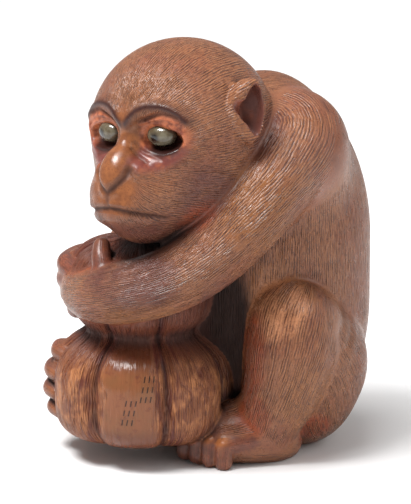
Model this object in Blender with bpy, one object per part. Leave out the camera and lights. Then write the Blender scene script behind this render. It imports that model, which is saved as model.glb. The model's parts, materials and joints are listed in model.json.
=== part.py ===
"""Okimono: a seated monkey hugging a double-lobed gourd.

The monkey and the gourd are carved from one block of wood. Each eye is a horn inlay with a domed front
and a short shank that sits in a socket in the carving.

The figure faces -Y, its left is +X, and the origin is at the middle of its underside.
The free form is written in shares of the figure's height: one share is a 65th of it.
The eyes, their sockets and the clearance round them have sizes of their own, in metres.
"""

import itertools

import bmesh
import bpy
import numpy as np
from mathutils import Matrix, Vector

# Driving sizes in metres
FIGURE_HEIGHT = 0.065
EYE_WIDTH = 0.0048
EYE_HEIGHT = 0.0034
EYE_BULGE = 0.0018
SHANK_WIDTH = 0.0034
SHANK_HEIGHT = 0.0024
SHANK_LENGTH = 0.0016
EYE_CLEARANCE = 0.0003

# The carving's surface: lattice cell in shares, and triangles kept
LATTICE_CELL = 0.5
CARVING_TRIANGLES = 8700

SHARES = 65.0
SHARE = FIGURE_HEIGHT / SHARES

# Distances are only worked out this close to a form, in shares
FAR = 9.0
REACH = 4.5


class Points:
    """Points in space and the box round them, so that forms that are far away can be skipped."""

    def __init__(self, places):
        self.places = places
        self.low = places.min(axis=0) - 0.1
        self.high = places.max(axis=0) + 0.1

    def gap(self, centre):
        """Distance from the box to a centre, or to each of many centres."""
        centre = np.asarray(centre, dtype=float)
        outside = np.maximum(np.maximum(self.low - centre, centre - self.high), 0.0)
        return np.sqrt((outside ** 2).sum(axis=-1))

    def near(self, centre, radius):
        return self.gap(centre) < radius + REACH

    def nothing(self):
        return np.full(len(self.places), FAR)


def length(vectors):
    return np.sqrt(np.einsum("ij,ij->i", vectors, vectors))


def join(first, second, blend):
    """The union of two distances, with a fillet of about the blend."""
    overlap = np.maximum(blend - np.abs(first - second), 0.0) / blend
    return np.minimum(first, second) - overlap ** 2 * blend / 4


def carve(first, second, blend):
    """The first form with the second taken away."""
    return -join(-first, second, blend)


def meet(first, second, blend):
    """What the two forms share."""
    return -join(-first, -second, blend)


def scaled_distance(offsets, radii):
    radii = np.asarray(radii, dtype=float)
    near = length(offsets / radii)
    steep = length(offsets / radii ** 2)
    return near * (near - 1.0) / np.maximum(steep, 1e-9)


def ellipsoid(points, centre, radii, axes=None):
    if not points.near(centre, max(radii)):
        return points.nothing()
    offsets = points.places - np.asarray(centre, dtype=float)
    if axes is not None:
        offsets = offsets @ axes.T
    return scaled_distance(offsets, radii)


def pillar(points, centre, radii, bottom):
    """An ellipsoid whose middle is drawn down as a column to the bottom height, and rounded off below it."""
    offsets = points.places - np.asarray(centre, dtype=float)
    rise = offsets[:, 2]
    sink = points.places[:, 2] - bottom
    offsets[:, 2] = np.where(rise > 0, rise, np.minimum(sink, 0.0))
    return scaled_distance(offsets, radii)


class Limb:
    """A round form of changing radius along a smooth curve through its points."""

    def __init__(self, points, radii, steps=4):
        knots = np.column_stack([np.asarray(points, dtype=float), radii])
        knots = np.vstack([2 * knots[0] - knots[1], knots, 2 * knots[-1] - knots[-2]])
        spans = [catmull_rom(knots[i:i + 4], steps) for i in range(len(knots) - 3)]
        course = np.vstack(spans + [knots[-2:-1]])
        self.starts = course[:-1, :3]
        self.runs = np.diff(course[:, :3], axis=0)
        self.radii = course[:-1, 3]
        self.swells = np.diff(course[:, 3])
        self.middles = self.starts + self.runs / 2
        self.sizes = length(self.runs) / 2 + np.maximum(course[:-1, 3], course[1:, 3])
        self.centre = self.middles.mean(axis=0)
        self.size = (length(self.middles - self.centre) + self.sizes).max()

    def __call__(self, points):
        best = points.nothing()
        if not points.near(self.centre, self.size):
            return best
        for i in np.flatnonzero(points.gap(self.middles) < self.sizes + REACH):
            offsets = points.places - self.starts[i]
            run = self.runs[i]
            share = np.clip(offsets @ run / (run @ run), 0.0, 1.0)
            radius = self.radii[i] + share * self.swells[i]
            best = np.minimum(best, length(offsets - np.outer(share, run)) - radius)
        return best


def catmull_rom(knots, steps):
    before, start, end, after = knots
    t = np.linspace(0.0, 1.0, steps, endpoint=False)[:, None]
    slope = end - before
    bend = 2 * before - 5 * start + 4 * end - after
    twist = 3 * start - before - 3 * end + after
    return 0.5 * (2 * start + slope * t + bend * t ** 2 + twist * t ** 3)


class Line(Limb):
    """A thin curve on the surface, along which relief is raised or sunk."""

    def __init__(self, points, steps=4):
        super().__init__(points, [0.0] * len(points), steps)


def relief(distance, points, line, width, height):
    """Raises the surface along a line with a soft section, or sinks it where the height is negative."""
    if not points.near(line.centre, line.size):
        return distance
    return distance - height * np.exp(-(line(points) / width) ** 2)


def turned(axis, degrees):
    """Rotation about X, Y or Z."""
    return np.array(Matrix.Rotation(np.radians(degrees), 3, axis))


# The gourd
GOURD_PLACE = (0.0, -15.5)
LOBE = (14.1, 11.6, 8.9)
LOBE_FULLNESS = (4.2, 2.5)
CROWN = (11.4, 27.0, 7.2)
CROWN_FULLNESS = (3.5, 3.0)
WAIST_FILLET = 3.0
RIBS = 7
RIB_TURN = 38.5
GROOVE_DEPTH = 1.25
GROOVE_WIDTH = 0.28
RIB_SWELL = 0.45


def bulb(across, height, size, fullness):
    """A turned form from its radius, middle height and half height, with the fullness below and above."""
    radius, middle, half = size
    rise = np.abs(height - middle)
    fullness = np.where(height < middle, *fullness)
    level = ((across / radius) ** fullness + (rise / half) ** fullness) ** (1 / fullness)
    level = np.maximum(level, 0.05)
    slope_across = across ** (fullness - 1) / radius ** fullness
    slope_up = rise ** (fullness - 1) / half ** fullness
    slope = level ** (1 - fullness) * np.hypot(slope_across, slope_up)
    return (level - 1.0) / np.maximum(slope, 0.03)


def gourd(points):
    offsets = points.places - np.array([*GOURD_PLACE, 0.0])
    across = np.hypot(offsets[:, 0], offsets[:, 1])
    bearing = np.arctan2(-offsets[:, 1], offsets[:, 0])
    crest = np.abs(np.cos((bearing - np.radians(RIB_TURN)) * RIBS / 2))
    dip = GROOVE_DEPTH * np.exp(-(crest / GROOVE_WIDTH) ** 2) + RIB_SWELL * (1 - crest)
    across = across + dip * np.clip(across / CROWN[0], 0.0, 1.0)
    lobe = bulb(across, offsets[:, 2], LOBE, LOBE_FULLNESS)
    crown = bulb(across, offsets[:, 2], CROWN, CROWN_FULLNESS)
    return join(lobe, crown, WAIST_FILLET)


def around(bearing, distance, height):
    """A place round the gourd's axis, its bearing counted from the figure's left towards the front."""
    angle = np.radians(bearing)
    x, y = GOURD_PLACE
    return (x + distance * np.cos(angle), y - distance * np.sin(angle), height)


# The body
BACK = ((0.0, 7.0, 31.5), (15.2, 16.1, 24.4))
BACK_FOOT = 21.5
RUMP = ((6.9, 8.4, 11.0), (9.5, 9.2, 11.2))
SHOULDER = ((10.0, 5.8, 46.2), (7.6, 7.9, 7.8))
NECK = Limb([(0.2, 5.6, 49.7), (0.8, 0.5, 48.0), (1.5, -5.0, 48.0)], [7.6, 9.3, 9.5])
BELLY = ((0.0, -3.5, 19.5), (8.5, 7.5, 13.5))
SEAT = ((0.0, -4.5, 1.4), (8.0, 6.5, 3.2))
RUMP_FILLET = 3.0
SHOULDER_FILLET = 5.0
NECK_FILLET = 4.0
BELLY_FILLET = 2.0
SEAT_FILLET = 1.5


def body(points):
    form = pillar(points, *BACK, BACK_FOOT)
    sides = Points(np.column_stack([np.abs(points.places[:, 0]), points.places[:, 1:]]))
    form = join(form, ellipsoid(sides, *RUMP), RUMP_FILLET)
    form = join(form, ellipsoid(sides, *SHOULDER), SHOULDER_FILLET)
    form = join(form, NECK(points), NECK_FILLET)
    form = join(form, ellipsoid(points, *BELLY), BELLY_FILLET)
    return join(form, ellipsoid(points, *SEAT), SEAT_FILLET)


# The arms and hands
LEFT_ARM = Limb(
    [(8.5, 7.0, 49.0), (11.6, 4.0, 47.6), (13.9, 0.0, 44.8), (14.9, -5.0, 40.0), (14.2, -10.5, 34.8),
     (12.9, -15.5, 31.2), (11.0, -20.0, 29.2), (7.9, -23.4, 28.0), (4.6, -24.6, 27.1), (1.4, -24.7, 26.5),
     (-1.8, -24.2, 26.1), (-4.8, -22.8, 25.8)],
    [6.8, 6.8, 6.4, 6.0, 5.6, 5.2, 4.9, 4.7, 4.4, 4.1, 3.9, 3.6])
RIGHT_ARM = Limb(
    [(-8.5, 7.0, 49.0), (-11.4, 4.5, 45.5), (-13.6, 0.5, 39.5), (-14.0, -4.5, 32.5), (-12.6, -10.5, 27.2),
     (-10.8, -16.0, 25.4), (-8.4, -20.2, 25.0)],
    [6.8, 6.8, 6.2, 5.5, 5.0, 4.4, 3.8])
ARM_FILLET = 2.6
LEFT_THUMB = Limb([(5.4, -24.6, 28.5), (4.8, -24.9, 31.0), (3.8, -24.7, 32.8), (2.7, -24.0, 34.2)],
                  [2.2, 1.7, 1.5, 1.35])
LEFT_KNUCKLES = (11.8, 11.9, 11.3, 10.3)
LEFT_INDEX_HEIGHT = 29.6
LEFT_FINGER_STEP = 2.3
RIGHT_INDEX_HEIGHT = 29.0
RIGHT_FINGER_STEP = 2.1
FINGER_RADII = [1.7, 1.6, 1.5, 1.4, 1.2]
FINGER_CREASE = 0.7
TOE_CREASE = 0.3
HAND_FILLET = 0.6
# Where the roots of the left fingers gather, and how a finger goes on from there: bearing round the gourd,
# and how far it is out from its knuckle and above its own height
LEFT_WRIST_DROP = 1.35
LEFT_ROOT_SPREAD = 0.7
LEFT_FINGER_COURSE = ((126, -0.2, -0.2), (140, 0.1, 0.0), (158, 0.0, 0.2), (178, -1.2, 0.4))
LEFT_ROOT = (112, -1.6)
# The right fingers: bearing, distance from the gourd's axis and place above the finger's own height
RIGHT_FINGER_COURSE = ((204, 10.6, -0.5), (190, 10.8, 0.0), (174, 10.6, 0.0), (160, 10.0, -0.3))


def left_fingers():
    """Four fingers that fan from the back of the hand and wrap round the gourd's upper lobe."""
    wrist_height = LEFT_INDEX_HEIGHT - LEFT_WRIST_DROP * LEFT_FINGER_STEP
    fingers = []
    for i, distance in enumerate(LEFT_KNUCKLES):
        height = LEFT_INDEX_HEIGHT - LEFT_FINGER_STEP * i
        root = wrist_height + LEFT_ROOT_SPREAD * (height - wrist_height)
        course = [around(LEFT_ROOT[0], distance + LEFT_ROOT[1], root)]
        for bearing, out, rise in LEFT_FINGER_COURSE:
            course.append(around(bearing, distance + out, height + rise))
        fingers.append(Limb(course, FINGER_RADII, 3))
    return fingers


def right_fingers():
    """Four fingers that lie on the gourd's upper lobe and end under the left hand's."""
    fingers = []
    for i in range(4):
        height = RIGHT_INDEX_HEIGHT - RIGHT_FINGER_STEP * i
        course = []
        for bearing, distance, rise in RIGHT_FINGER_COURSE:
            course.append(around(bearing, distance, height + rise))
        fingers.append(Limb(course, FINGER_RADII[1:], 3))
    return fingers


LEFT_FINGERS = left_fingers()
RIGHT_FINGERS = right_fingers()


def digits(points, limbs, crease):
    """Fingers or toes side by side, with a crease of the given softness between them."""
    form = limbs[0](points)
    for limb in limbs[1:]:
        form = join(form, limb(points), crease)
    return form


def arms(points, form):
    form = join(form, LEFT_ARM(points), ARM_FILLET)
    form = join(form, RIGHT_ARM(points), ARM_FILLET)
    left_hand = join(digits(points, LEFT_FINGERS, FINGER_CREASE), LEFT_THUMB(points), FINGER_CREASE)
    form = join(form, left_hand, HAND_FILLET)
    return join(form, digits(points, RIGHT_FINGERS, TOE_CREASE), HAND_FILLET)


# The legs and feet
HAUNCH_RADII = (9.4, 9.4, 12.2)
LEFT_HAUNCH = (8.6, 8.0, 12.4)
LEFT_THIGH = Limb([(14.0, 4.5, 20.5), (10.5, 8.6, 14.0)], [6.4, 8.0], 3)
LEFT_SHIN = Limb([(14.6, 2.6, 21.2), (15.0, 2.0, 17.0), (14.6, 1.0, 12.0), (13.9, -0.4, 8.0),
                  (13.5, -1.4, 5.4)], [6.9, 7.0, 6.2, 5.4, 4.9])
LEFT_SOLE = Limb([(13.5, 1.6, 2.6), (13.7, -0.6, 3.3), (13.5, -4.0, 3.8), (12.4, -7.6, 3.6)],
                 [3.0, 3.8, 3.9, 3.4], 3)
LEFT_INSTEP = Limb([(12.2, -3.0, 6.8), (10.5, -6.8, 5.6), (9.3, -9.8, 4.4)], [3.6, 3.1, 2.0], 3)
# The first and last knuckle, and from a knuckle to the toe's root, its bend and its tip
LEFT_TOE_ROW = ((8.0, -12.3, 4.0), (14.6, -9.4, 3.5))
LEFT_TOE_BOW = 0.9
LEFT_TOE_ROOT = (1.2, 4.4, 0.5)
LEFT_TOE_BEND = (0.3, 1.0, 0.2)
LEFT_TOE_TIP = (0.25, -0.3, -2.4)
TOE_ROOT_RADIUS = 1.5
TOE_RADIUS = 1.4
RIGHT_HAUNCH = (-8.4, 8.0, 12.4)
RIGHT_THIGH = Limb([(-13.2, 1.0, 20.4), (-10.5, 8.0, 14.0)], [6.4, 8.6], 3)
RIGHT_SHIN = Limb([(-13.6, 0.0, 21.0), (-15.6, -4.0, 18.0), (-16.4, -9.5, 13.0), (-15.4, -14.6, 9.4),
                   (-14.4, -18.4, 8.4)], [6.6, 6.6, 5.6, 4.6, 4.2])
RIGHT_SOLE = Limb([around(172, 15.0, 8.2), around(162, 14.4, 9.6), around(152, 13.8, 10.8),
                   around(142, 13.0, 11.6)], [4.0, 3.6, 3.2, 2.6], 3)
RIGHT_KNUCKLES = (12.5, 13.6, 13.8, 13.2)
RIGHT_TOE_HEIGHT = 15.5
RIGHT_TOE_STEP = 2.95
RIGHT_ROOT_DROP = 1.45
RIGHT_ROOT_SPREAD = 0.45
# The right toes: bearing, and how far out from the knuckle and above the toe's own height
RIGHT_TOE_COURSE = ((136, 0.5, 0.0), (126, 0.4, 0.0), (118, -0.6, -0.3))
RIGHT_ROOT = (146, 0.2)
RIGHT_TOE_RADII = [1.7, 1.5, 1.35, 1.15]
THIGH_FILLET = 3.0
KNEE_CREASE = 0.8
LEG_FILLET = 1.0
FOOT_FILLET = 1.5


def left_toes():
    """Four toes in a row, each with a knuckle at the front and its end bent straight down to the floor."""
    first, last = np.array(LEFT_TOE_ROW)
    uppers = []
    ends = []
    for t in np.linspace(0.0, 1.0, 4):
        knuckle = first + (last - first) * t
        knuckle[1] -= LEFT_TOE_BOW * t * (1 - t)
        course = [knuckle + np.array(LEFT_TOE_ROOT), knuckle + np.array(LEFT_TOE_BEND), knuckle]
        uppers.append(Limb(course, [TOE_ROOT_RADIUS, TOE_RADIUS, TOE_RADIUS], 2))
        ends.append(Limb([knuckle, knuckle + np.array(LEFT_TOE_TIP)], [TOE_RADIUS, TOE_RADIUS], 1))
    return uppers, ends


def right_toes():
    """Four toes that clasp the gourd's lower lobe from its far side."""
    middle = RIGHT_TOE_HEIGHT - RIGHT_ROOT_DROP * RIGHT_TOE_STEP
    toes = []
    for i, distance in enumerate(RIGHT_KNUCKLES):
        height = RIGHT_TOE_HEIGHT - RIGHT_TOE_STEP * i
        root = middle + RIGHT_ROOT_SPREAD * (height - middle)
        course = [around(RIGHT_ROOT[0], distance + RIGHT_ROOT[1], root)]
        for bearing, out, rise in RIGHT_TOE_COURSE:
            course.append(around(bearing, distance + out, height + rise))
        toes.append(Limb(course, RIGHT_TOE_RADII, 3))
    return toes


LEFT_TOE_UPPERS, LEFT_TOE_ENDS = left_toes()
RIGHT_TOES = right_toes()


def legs(points, form):
    left_thigh = join(ellipsoid(points, LEFT_HAUNCH, HAUNCH_RADII), LEFT_THIGH(points), THIGH_FILLET)
    right_thigh = join(ellipsoid(points, RIGHT_HAUNCH, HAUNCH_RADII), RIGHT_THIGH(points), THIGH_FILLET)
    left = join(LEFT_SHIN(points), left_thigh, KNEE_CREASE)
    right = join(RIGHT_SHIN(points), right_thigh, KNEE_CREASE)
    form = join(form, join(left, right, KNEE_CREASE), LEG_FILLET)
    foot = join(LEFT_SOLE(points), LEFT_INSTEP(points), FOOT_FILLET)
    foot = join(foot, digits(points, LEFT_TOE_UPPERS, TOE_CREASE), TOE_CREASE)
    foot = join(foot, digits(points, LEFT_TOE_ENDS, TOE_CREASE / 2), TOE_CREASE / 2)
    form = join(form, foot, LEG_FILLET)
    other = join(RIGHT_SOLE(points), digits(points, RIGHT_TOES, TOE_CREASE), TOE_CREASE)
    return join(form, other, LEG_FILLET)


# The head, in its own frame: side (towards the figure's left), forward, up
HEAD_PLACE = np.array([3.0, -10.0, 51.1])
HEAD_SIZE = 22.0
HEAD_TURN = 22.0
HEAD_NOD = -4.0
HEAD_TILT = 4.0
HEAD_AXES = turned("Y", HEAD_TILT) @ turned("X", HEAD_NOD) @ turned("Z", -HEAD_TURN)
HEAD_AXES = HEAD_AXES * np.array([[1.0], [-1.0], [1.0]])

SKULL = ((0, 0.1, 0.1), (13.8, 14.4, 13.6))
CHEEKS = ((0, 3.5, -7.0), (11.4, 11.2, 9.0))
MUZZLE = ((0, 10.6, -7.4), (8.0, 8.6, 6.6))
CHIN = ((0, 10.2, -11.6), (5.4, 5.7, 3.7))
FACE_FLAT = ((0, 19.0, 2.2), (9.5, 5.9, 3.6))
EYE_HOLLOW = ((5.2, 14.4, 2.0), (4.2, 3.0, 3.2))
EYE_OPENING = ((5.65, 12.2, 1.3), (3.9, 2.7, 2.15))
NOSE = ((0, 16.2, -3.0), (2.85, 2.65, 4.4))
NOSE_AXES = turned("X", -36)
NOSE_WING = ((3.0, 15.4, -3.3), (1.5, 1.6, 1.7))
BRIDGE = Limb([(0, 12.7, 4.2), (0, 13.0, 1.6), (0, 14.2, -0.6)], [0.9, 1.2, 1.6])
BROW = Line([(0.5, 13.9, 3.9), (1.9, 13.3, 5.6), (3.6, 12.4, 6.4), (6.0, 11.6, 6.3), (8.0, 10.9, 5.3),
             (9.4, 10.3, 3.9)])
# Each line of the face with the width and height of its relief
FACE_LINES = [
    (Line([(2.75, 16.8, -2.3), (2.4, 17.9, -3.3), (1.4, 18.8, -4.4), (0.1, 19.4, -5.4)], 5), 0.45, -0.95),
    (Line([(0, 19.5, -5.6), (0, 19.3, -7.5)], 2), 0.35, -0.3),
    (Line([(0, 19.4, -7.1), (1.8, 19.0, -7.3), (3.6, 18.3, -7.7), (5.2, 16.8, -8.3)]), 0.45, 0.25),
    (Line([(0, 18.8, -9.3), (2.4, 18.0, -9.6), (4.6, 16.2, -10.3)]), 0.9, 0.45),
    (Line([(0, 19.2, -7.8), (1.8, 18.9, -8.0), (3.6, 18.1, -8.5), (5.2, 16.6, -9.1), (6.5, 14.7, -9.9)]),
     0.35, -0.7),
    (Line([(1.8, 12.5, 2.4), (2.9, 12.3, 3.6), (4.9, 12.0, 4.1), (7.0, 11.6, 3.8), (9.1, 10.6, 2.4)]),
     0.5, 0.5),
    (Line([(2.4, 12.5, 4.1), (4.5, 12.2, 4.9), (6.3, 12.0, 5.2), (8.2, 11.3, 4.5)]), 0.4, -0.55),
    (Line([(1.7, 12.7, 1.7), (2.5, 12.8, 0.0), (4.3, 12.8, -1.2), (6.2, 12.4, -1.2), (7.9, 11.5, 0.0),
           (9.1, 10.6, 1.9)]), 0.45, 0.55),
    (Line([(1.6, 13.3, 0.6), (2.2, 13.4, -0.6), (3.4, 13.5, -1.6), (5.0, 13.3, -2.2), (6.6, 12.6, -2.4),
           (8.6, 11.1, -1.4)]), 0.4, 0.45),
    (Line([(1.7, 13.6, -0.2), (2.4, 13.9, -1.5), (3.6, 14.1, -2.5), (4.8, 14.2, -3.0)]), 0.4, 0.4),
]

EAR_PLACE = np.array([14.0, 1.2, 3.0])
EAR_LEAN = 18.0
EAR_AXES = turned("Y", -EAR_LEAN) @ np.array([[0.43, -0.90, 0.0], [0.90, 0.43, 0.0], [0.0, 0.0, 1.0]])
FAR_EAR_SHIFT = np.array([-0.6, -3.4, -1.4])
EAR_SLIT = Limb([(-2.9, 1.4, 1.5), (-1.6, 0.4, 0.7), (-0.9, -0.2, -0.7), (-0.7, -0.4, -2.6)],
                [0.9, 0.8, 0.7, 0.4])


# From the side, the leaf and its cup lie where two circles overlap: each one's place back and up, and radius
EAR_BACK_EDGE = (-5.6, 0.0, 7.7)
EAR_FRONT_EDGE = (1.3, 0.8, 5.1)
CUP_FRONT_EDGE = (3.9, 1.8, 5.3)
EAR_RIM = 0.5
EAR_THICKNESS = 1.6
EAR_FLARE = 0.25
CUP_SLOPE = 0.85
CUP_DEPTH = 0.895


def circle(back, up, edge):
    return np.hypot(back - edge[0], up - edge[1]) - edge[2]


def ear(places):
    """A pointed leaf, and the cup and slit cut into it, measured back along it, out from it and up."""
    offsets = (places - EAR_PLACE) @ EAR_AXES.T
    back, out, up = offsets.T
    back_edge = circle(back, up, EAR_BACK_EDGE)
    outline = np.maximum(back_edge, circle(back, up, EAR_FRONT_EDGE))
    leaf = meet(outline, np.abs(out + 0.3 - EAR_FLARE * back) - EAR_THICKNESS, 0.9)
    cup_edge = np.maximum(back_edge + EAR_RIM, circle(back, up, CUP_FRONT_EDGE))
    cup_floor = (out - CUP_SLOPE * back + CUP_DEPTH) / np.hypot(1.0, CUP_SLOPE)
    cup = meet(cup_edge, -cup_floor, 0.7)
    return leaf, join(cup, EAR_SLIT(Points(offsets)), 0.9)


CHEEK_FILLET = 3.0
MUZZLE_FILLET = 2.0
NOSE_FILLET = 1.2
SOCKET_EDGE = 0.5
BROW_WIDTH = 0.95
BROW_HEIGHT = 0.7


def head(points):
    if not points.near(HEAD_PLACE, HEAD_SIZE):
        return points.nothing()
    places = (points.places - HEAD_PLACE) @ HEAD_AXES.T
    far_side = places[:, 0] < 0
    places[:, 0] = np.abs(places[:, 0])
    near = Points(places)
    form = ellipsoid(near, *SKULL)
    form = join(form, ellipsoid(near, *CHEEKS), CHEEK_FILLET)
    form = join(form, ellipsoid(near, *MUZZLE), MUZZLE_FILLET)
    form = join(form, ellipsoid(near, *CHIN), NOSE_FILLET)
    form = carve(form, ellipsoid(near, *FACE_FLAT), MUZZLE_FILLET)
    form = carve(form, ellipsoid(near, *EYE_HOLLOW), NOSE_FILLET)
    form = relief(form, near, BROW, BROW_WIDTH, BROW_HEIGHT)
    form = join(form, BRIDGE(near), NOSE_FILLET)
    form = join(form, ellipsoid(near, *NOSE_WING), NOSE_FILLET)
    form = join(form, ellipsoid(near, *NOSE, NOSE_AXES), SOCKET_EDGE)
    for line, width, height in FACE_LINES:
        form = relief(form, near, line, width, height)
    leaf, cup = ear(places - np.outer(far_side, FAR_EAR_SHIFT))
    form = carve(join(form, leaf, SOCKET_EDGE), cup, SOCKET_EDGE)
    return carve(form, ellipsoid(near, *EYE_OPENING), SOCKET_EDGE)


GOURD_CREASE = 0.4
HEAD_CREASE = 0.8


def carving_distance(places):
    """Distance from each place to the whole carving's surface, negative inside the wood."""
    points = Points(places)
    form = body(points)
    form = arms(points, form)
    form = legs(points, form)
    form = join(form, gourd(points), GOURD_CREASE)
    return join(form, head(points), HEAD_CREASE)


# The lattice that the surface is read from, in shares: it reaches a little below the floor
LOW_CORNER = np.array([-24.0, -33.0, -1.5])
HIGH_CORNER = np.array([25.0, 26.0, 67.0])
COARSE_STEPS = 4
BLOCK_STEPS = 3


def in_blocks(cells, steps):
    """Index groups of the lattice cells that lie in the same cube of steps."""
    cubes = cells // steps
    keys = (cubes[:, 0] * 1000 + cubes[:, 1]) * 1000 + cubes[:, 2]
    order = np.argsort(keys, kind="stable")
    breaks = np.flatnonzero(np.diff(keys[order])) + 1
    return np.split(order, breaks)


def distances_at(cells, origin, cell, steps):
    values = np.empty(len(cells))
    for group in in_blocks(cells, steps):
        values[group] = carving_distance(origin + cell * cells[group])
    return values


def lattice_distances(cell):
    """Distances on the whole lattice, exact near the surface and only of the right sign elsewhere."""
    coarse_cell = cell * COARSE_STEPS
    counts = np.ceil((HIGH_CORNER - LOW_CORNER) / coarse_cell).astype(int)
    coarse = np.argwhere(np.ones(counts, dtype=bool))
    middles = LOW_CORNER + coarse_cell / 2
    coarse_values = distances_at(coarse, middles, coarse_cell, BLOCK_STEPS)
    signs = np.where(coarse_values < 0, -FAR, FAR).reshape(counts)
    values = np.kron(signs, np.ones((COARSE_STEPS,) * 3))
    values = np.pad(values, ((0, 1),) * 3, mode="edge")
    close = coarse[np.abs(coarse_values) < 1.5 * coarse_cell] * COARSE_STEPS
    wanted = np.zeros(values.shape, dtype=bool)
    for step in itertools.product(range(COARSE_STEPS + 1), repeat=3):
        wanted[tuple((close + step).T)] = True
    fine = np.argwhere(wanted)
    values[tuple(fine.T)] = distances_at(fine, LOW_CORNER, cell, COARSE_STEPS * 3)
    return values


CORNERS = np.array(list(itertools.product((0, 1), repeat=3)))


def split_cases():
    """For each pattern of inside corners, whether the inside or the outside ones fall apart."""
    neighbours = [[j for j in range(8) if np.abs(CORNERS[i] - CORNERS[j]).sum() == 1] for i in range(8)]

    def parts(corners):
        left = set(corners)
        count = 0
        while left:
            count += 1
            front = [left.pop()]
            while front:
                reached = left.intersection(neighbours[front.pop()])
                left -= reached
                front += reached
        return count

    split = np.zeros(256, dtype=bool)
    for case in range(256):
        inside = [i for i in range(8) if case >> i & 1]
        outside = [i for i in range(8) if not case >> i & 1]
        split[case] = parts(inside) > 1 or parts(outside) > 1
    return split


def corner_cases(inside):
    """The pattern of inside corners of every lattice cell."""
    shape = np.array(inside.shape) - 1
    cases = np.zeros(shape, dtype=np.uint8)
    for bit, (i, j, k) in enumerate(CORNERS):
        cases |= inside[i:i + shape[0], j:j + shape[1], k:k + shape[2]].astype(np.uint8) << bit
    return cases


def fill_split_cells(values):
    """Makes the cells where the surface would pinch solid."""
    split = split_cases()
    cases = corner_cases(values < 0)
    while split[cases].any():
        for corner in CORNERS:
            places = tuple((np.argwhere(split[cases]) + corner).T)
            values[places] = np.minimum(values[places], -0.001)
        cases = corner_cases(values < 0)
    return cases


def surface_net(values, cell):
    """Vertices in the cells that the surface crosses, and four-sided faces between them."""
    cases = fill_split_cells(values)
    crossed = (cases != 0) & (cases != 255)
    cells = np.argwhere(crossed)
    numbers = np.full(cases.shape, -1)
    numbers[crossed] = np.arange(len(cells))
    at_corners = [values[tuple((cells + corner).T)] for corner in CORNERS]
    total = np.zeros((len(cells), 3))
    count = np.zeros(len(cells))
    for i, j in itertools.combinations(range(8), 2):
        step = CORNERS[j] - CORNERS[i]
        if np.abs(step).sum() > 1:
            continue
        cut = (at_corners[i] < 0) != (at_corners[j] < 0)
        fall = np.where(cut, at_corners[i] - at_corners[j], 1.0)
        share = at_corners[i] / fall
        total += np.where(cut[:, None], CORNERS[i] + share[:, None] * step, 0.0)
        count += cut
    vertices = LOW_CORNER + cell * (cells + total / count[:, None])
    return vertices, net_faces(values < 0, numbers)


def net_faces(inside, numbers):
    faces = []
    for axis in range(3):
        one = np.eye(3, dtype=int)
        side, other = one[(axis + 1) % 3], one[(axis + 2) % 3]
        first = np.moveaxis(inside, axis, 0)[:-1]
        second = np.moveaxis(inside, axis, 0)[1:]
        edges = np.argwhere(np.moveaxis(first != second, 0, axis))
        within = ((edges * (side + other) > 0) | (side + other == 0)).all(axis=1)
        within &= (edges < np.array(numbers.shape)).all(axis=1)
        edges = edges[within]
        ring = [edges, edges - side, edges - side - other, edges - other]
        quads = np.column_stack([numbers[tuple(corner.T)] for corner in ring])
        leaving = inside[tuple(edges.T)]
        quads[~leaving] = quads[~leaving, ::-1]
        faces.append(quads)
    return np.vstack(faces)


def pulled_to_surface(vertices, cell):
    """Moves each vertex along the slope of the distance onto the surface itself."""
    directions = np.array([(1, -1, -1), (-1, -1, 1), (-1, 1, -1), (1, 1, 1), (0, 0, 0)], dtype=float)
    nudge = 0.05
    moved = vertices.copy()
    cells = ((vertices - LOW_CORNER) / cell).astype(int)
    for group in in_blocks(cells, COARSE_STEPS * 3):
        places = vertices[group]
        around_them = (places[None] + nudge * directions[:, None]).reshape(-1, 3)
        values = carving_distance(around_them).reshape(len(directions), -1)
        slope = values.T @ directions / (4 * nudge)
        steepness = np.maximum((slope ** 2).sum(axis=1), 0.25)
        step = np.clip(values[-1] / steepness, -cell / 2, cell / 2)
        moved[group] = places - slope * step[:, None]
    return moved


# Building the objects


def material(name, colour, roughness):
    made = bpy.data.materials.new(name)
    made.use_nodes = True
    shader = made.node_tree.nodes["Principled BSDF"]
    shader.inputs["Base Color"].default_value = (*colour, 1.0)
    shader.inputs["Roughness"].default_value = roughness
    shader.inputs["Metallic"].default_value = 0.0
    return made


def place_object(name, mesh, look):
    made = bpy.data.objects.new(name, mesh)
    mesh.materials.append(look)
    bpy.context.scene.collection.objects.link(made)
    return made


def evaluated_mesh(source):
    """The mesh that an object's modifiers make of it."""
    bpy.context.view_layer.update()
    graph = bpy.context.evaluated_depsgraph_get()
    return bpy.data.meshes.new_from_object(source.evaluated_get(graph), depsgraph=graph)


def shell_of(vertex):
    """All vertices that hang together with one."""
    shell = {vertex}
    front = [vertex]
    while front:
        reached = front.pop()
        found = {edge.other_vert(reached) for edge in reached.link_edges} - shell
        shell |= found
        front += found
    return shell


def keep_outer_shell(work):
    """Fills the bubbles between forms inside the block, by dropping every shell but the outer one."""
    highest = max(work.verts, key=lambda vertex: vertex.co.z)
    outer = shell_of(highest)
    inner = [vertex for vertex in work.verts if vertex not in outer]
    bmesh.ops.delete(work, geom=inner, context="VERTS")


# Vertices this close to the floor are taken as on it, in metres
FLOOR_REACH = 0.02 * SHARE


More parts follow.
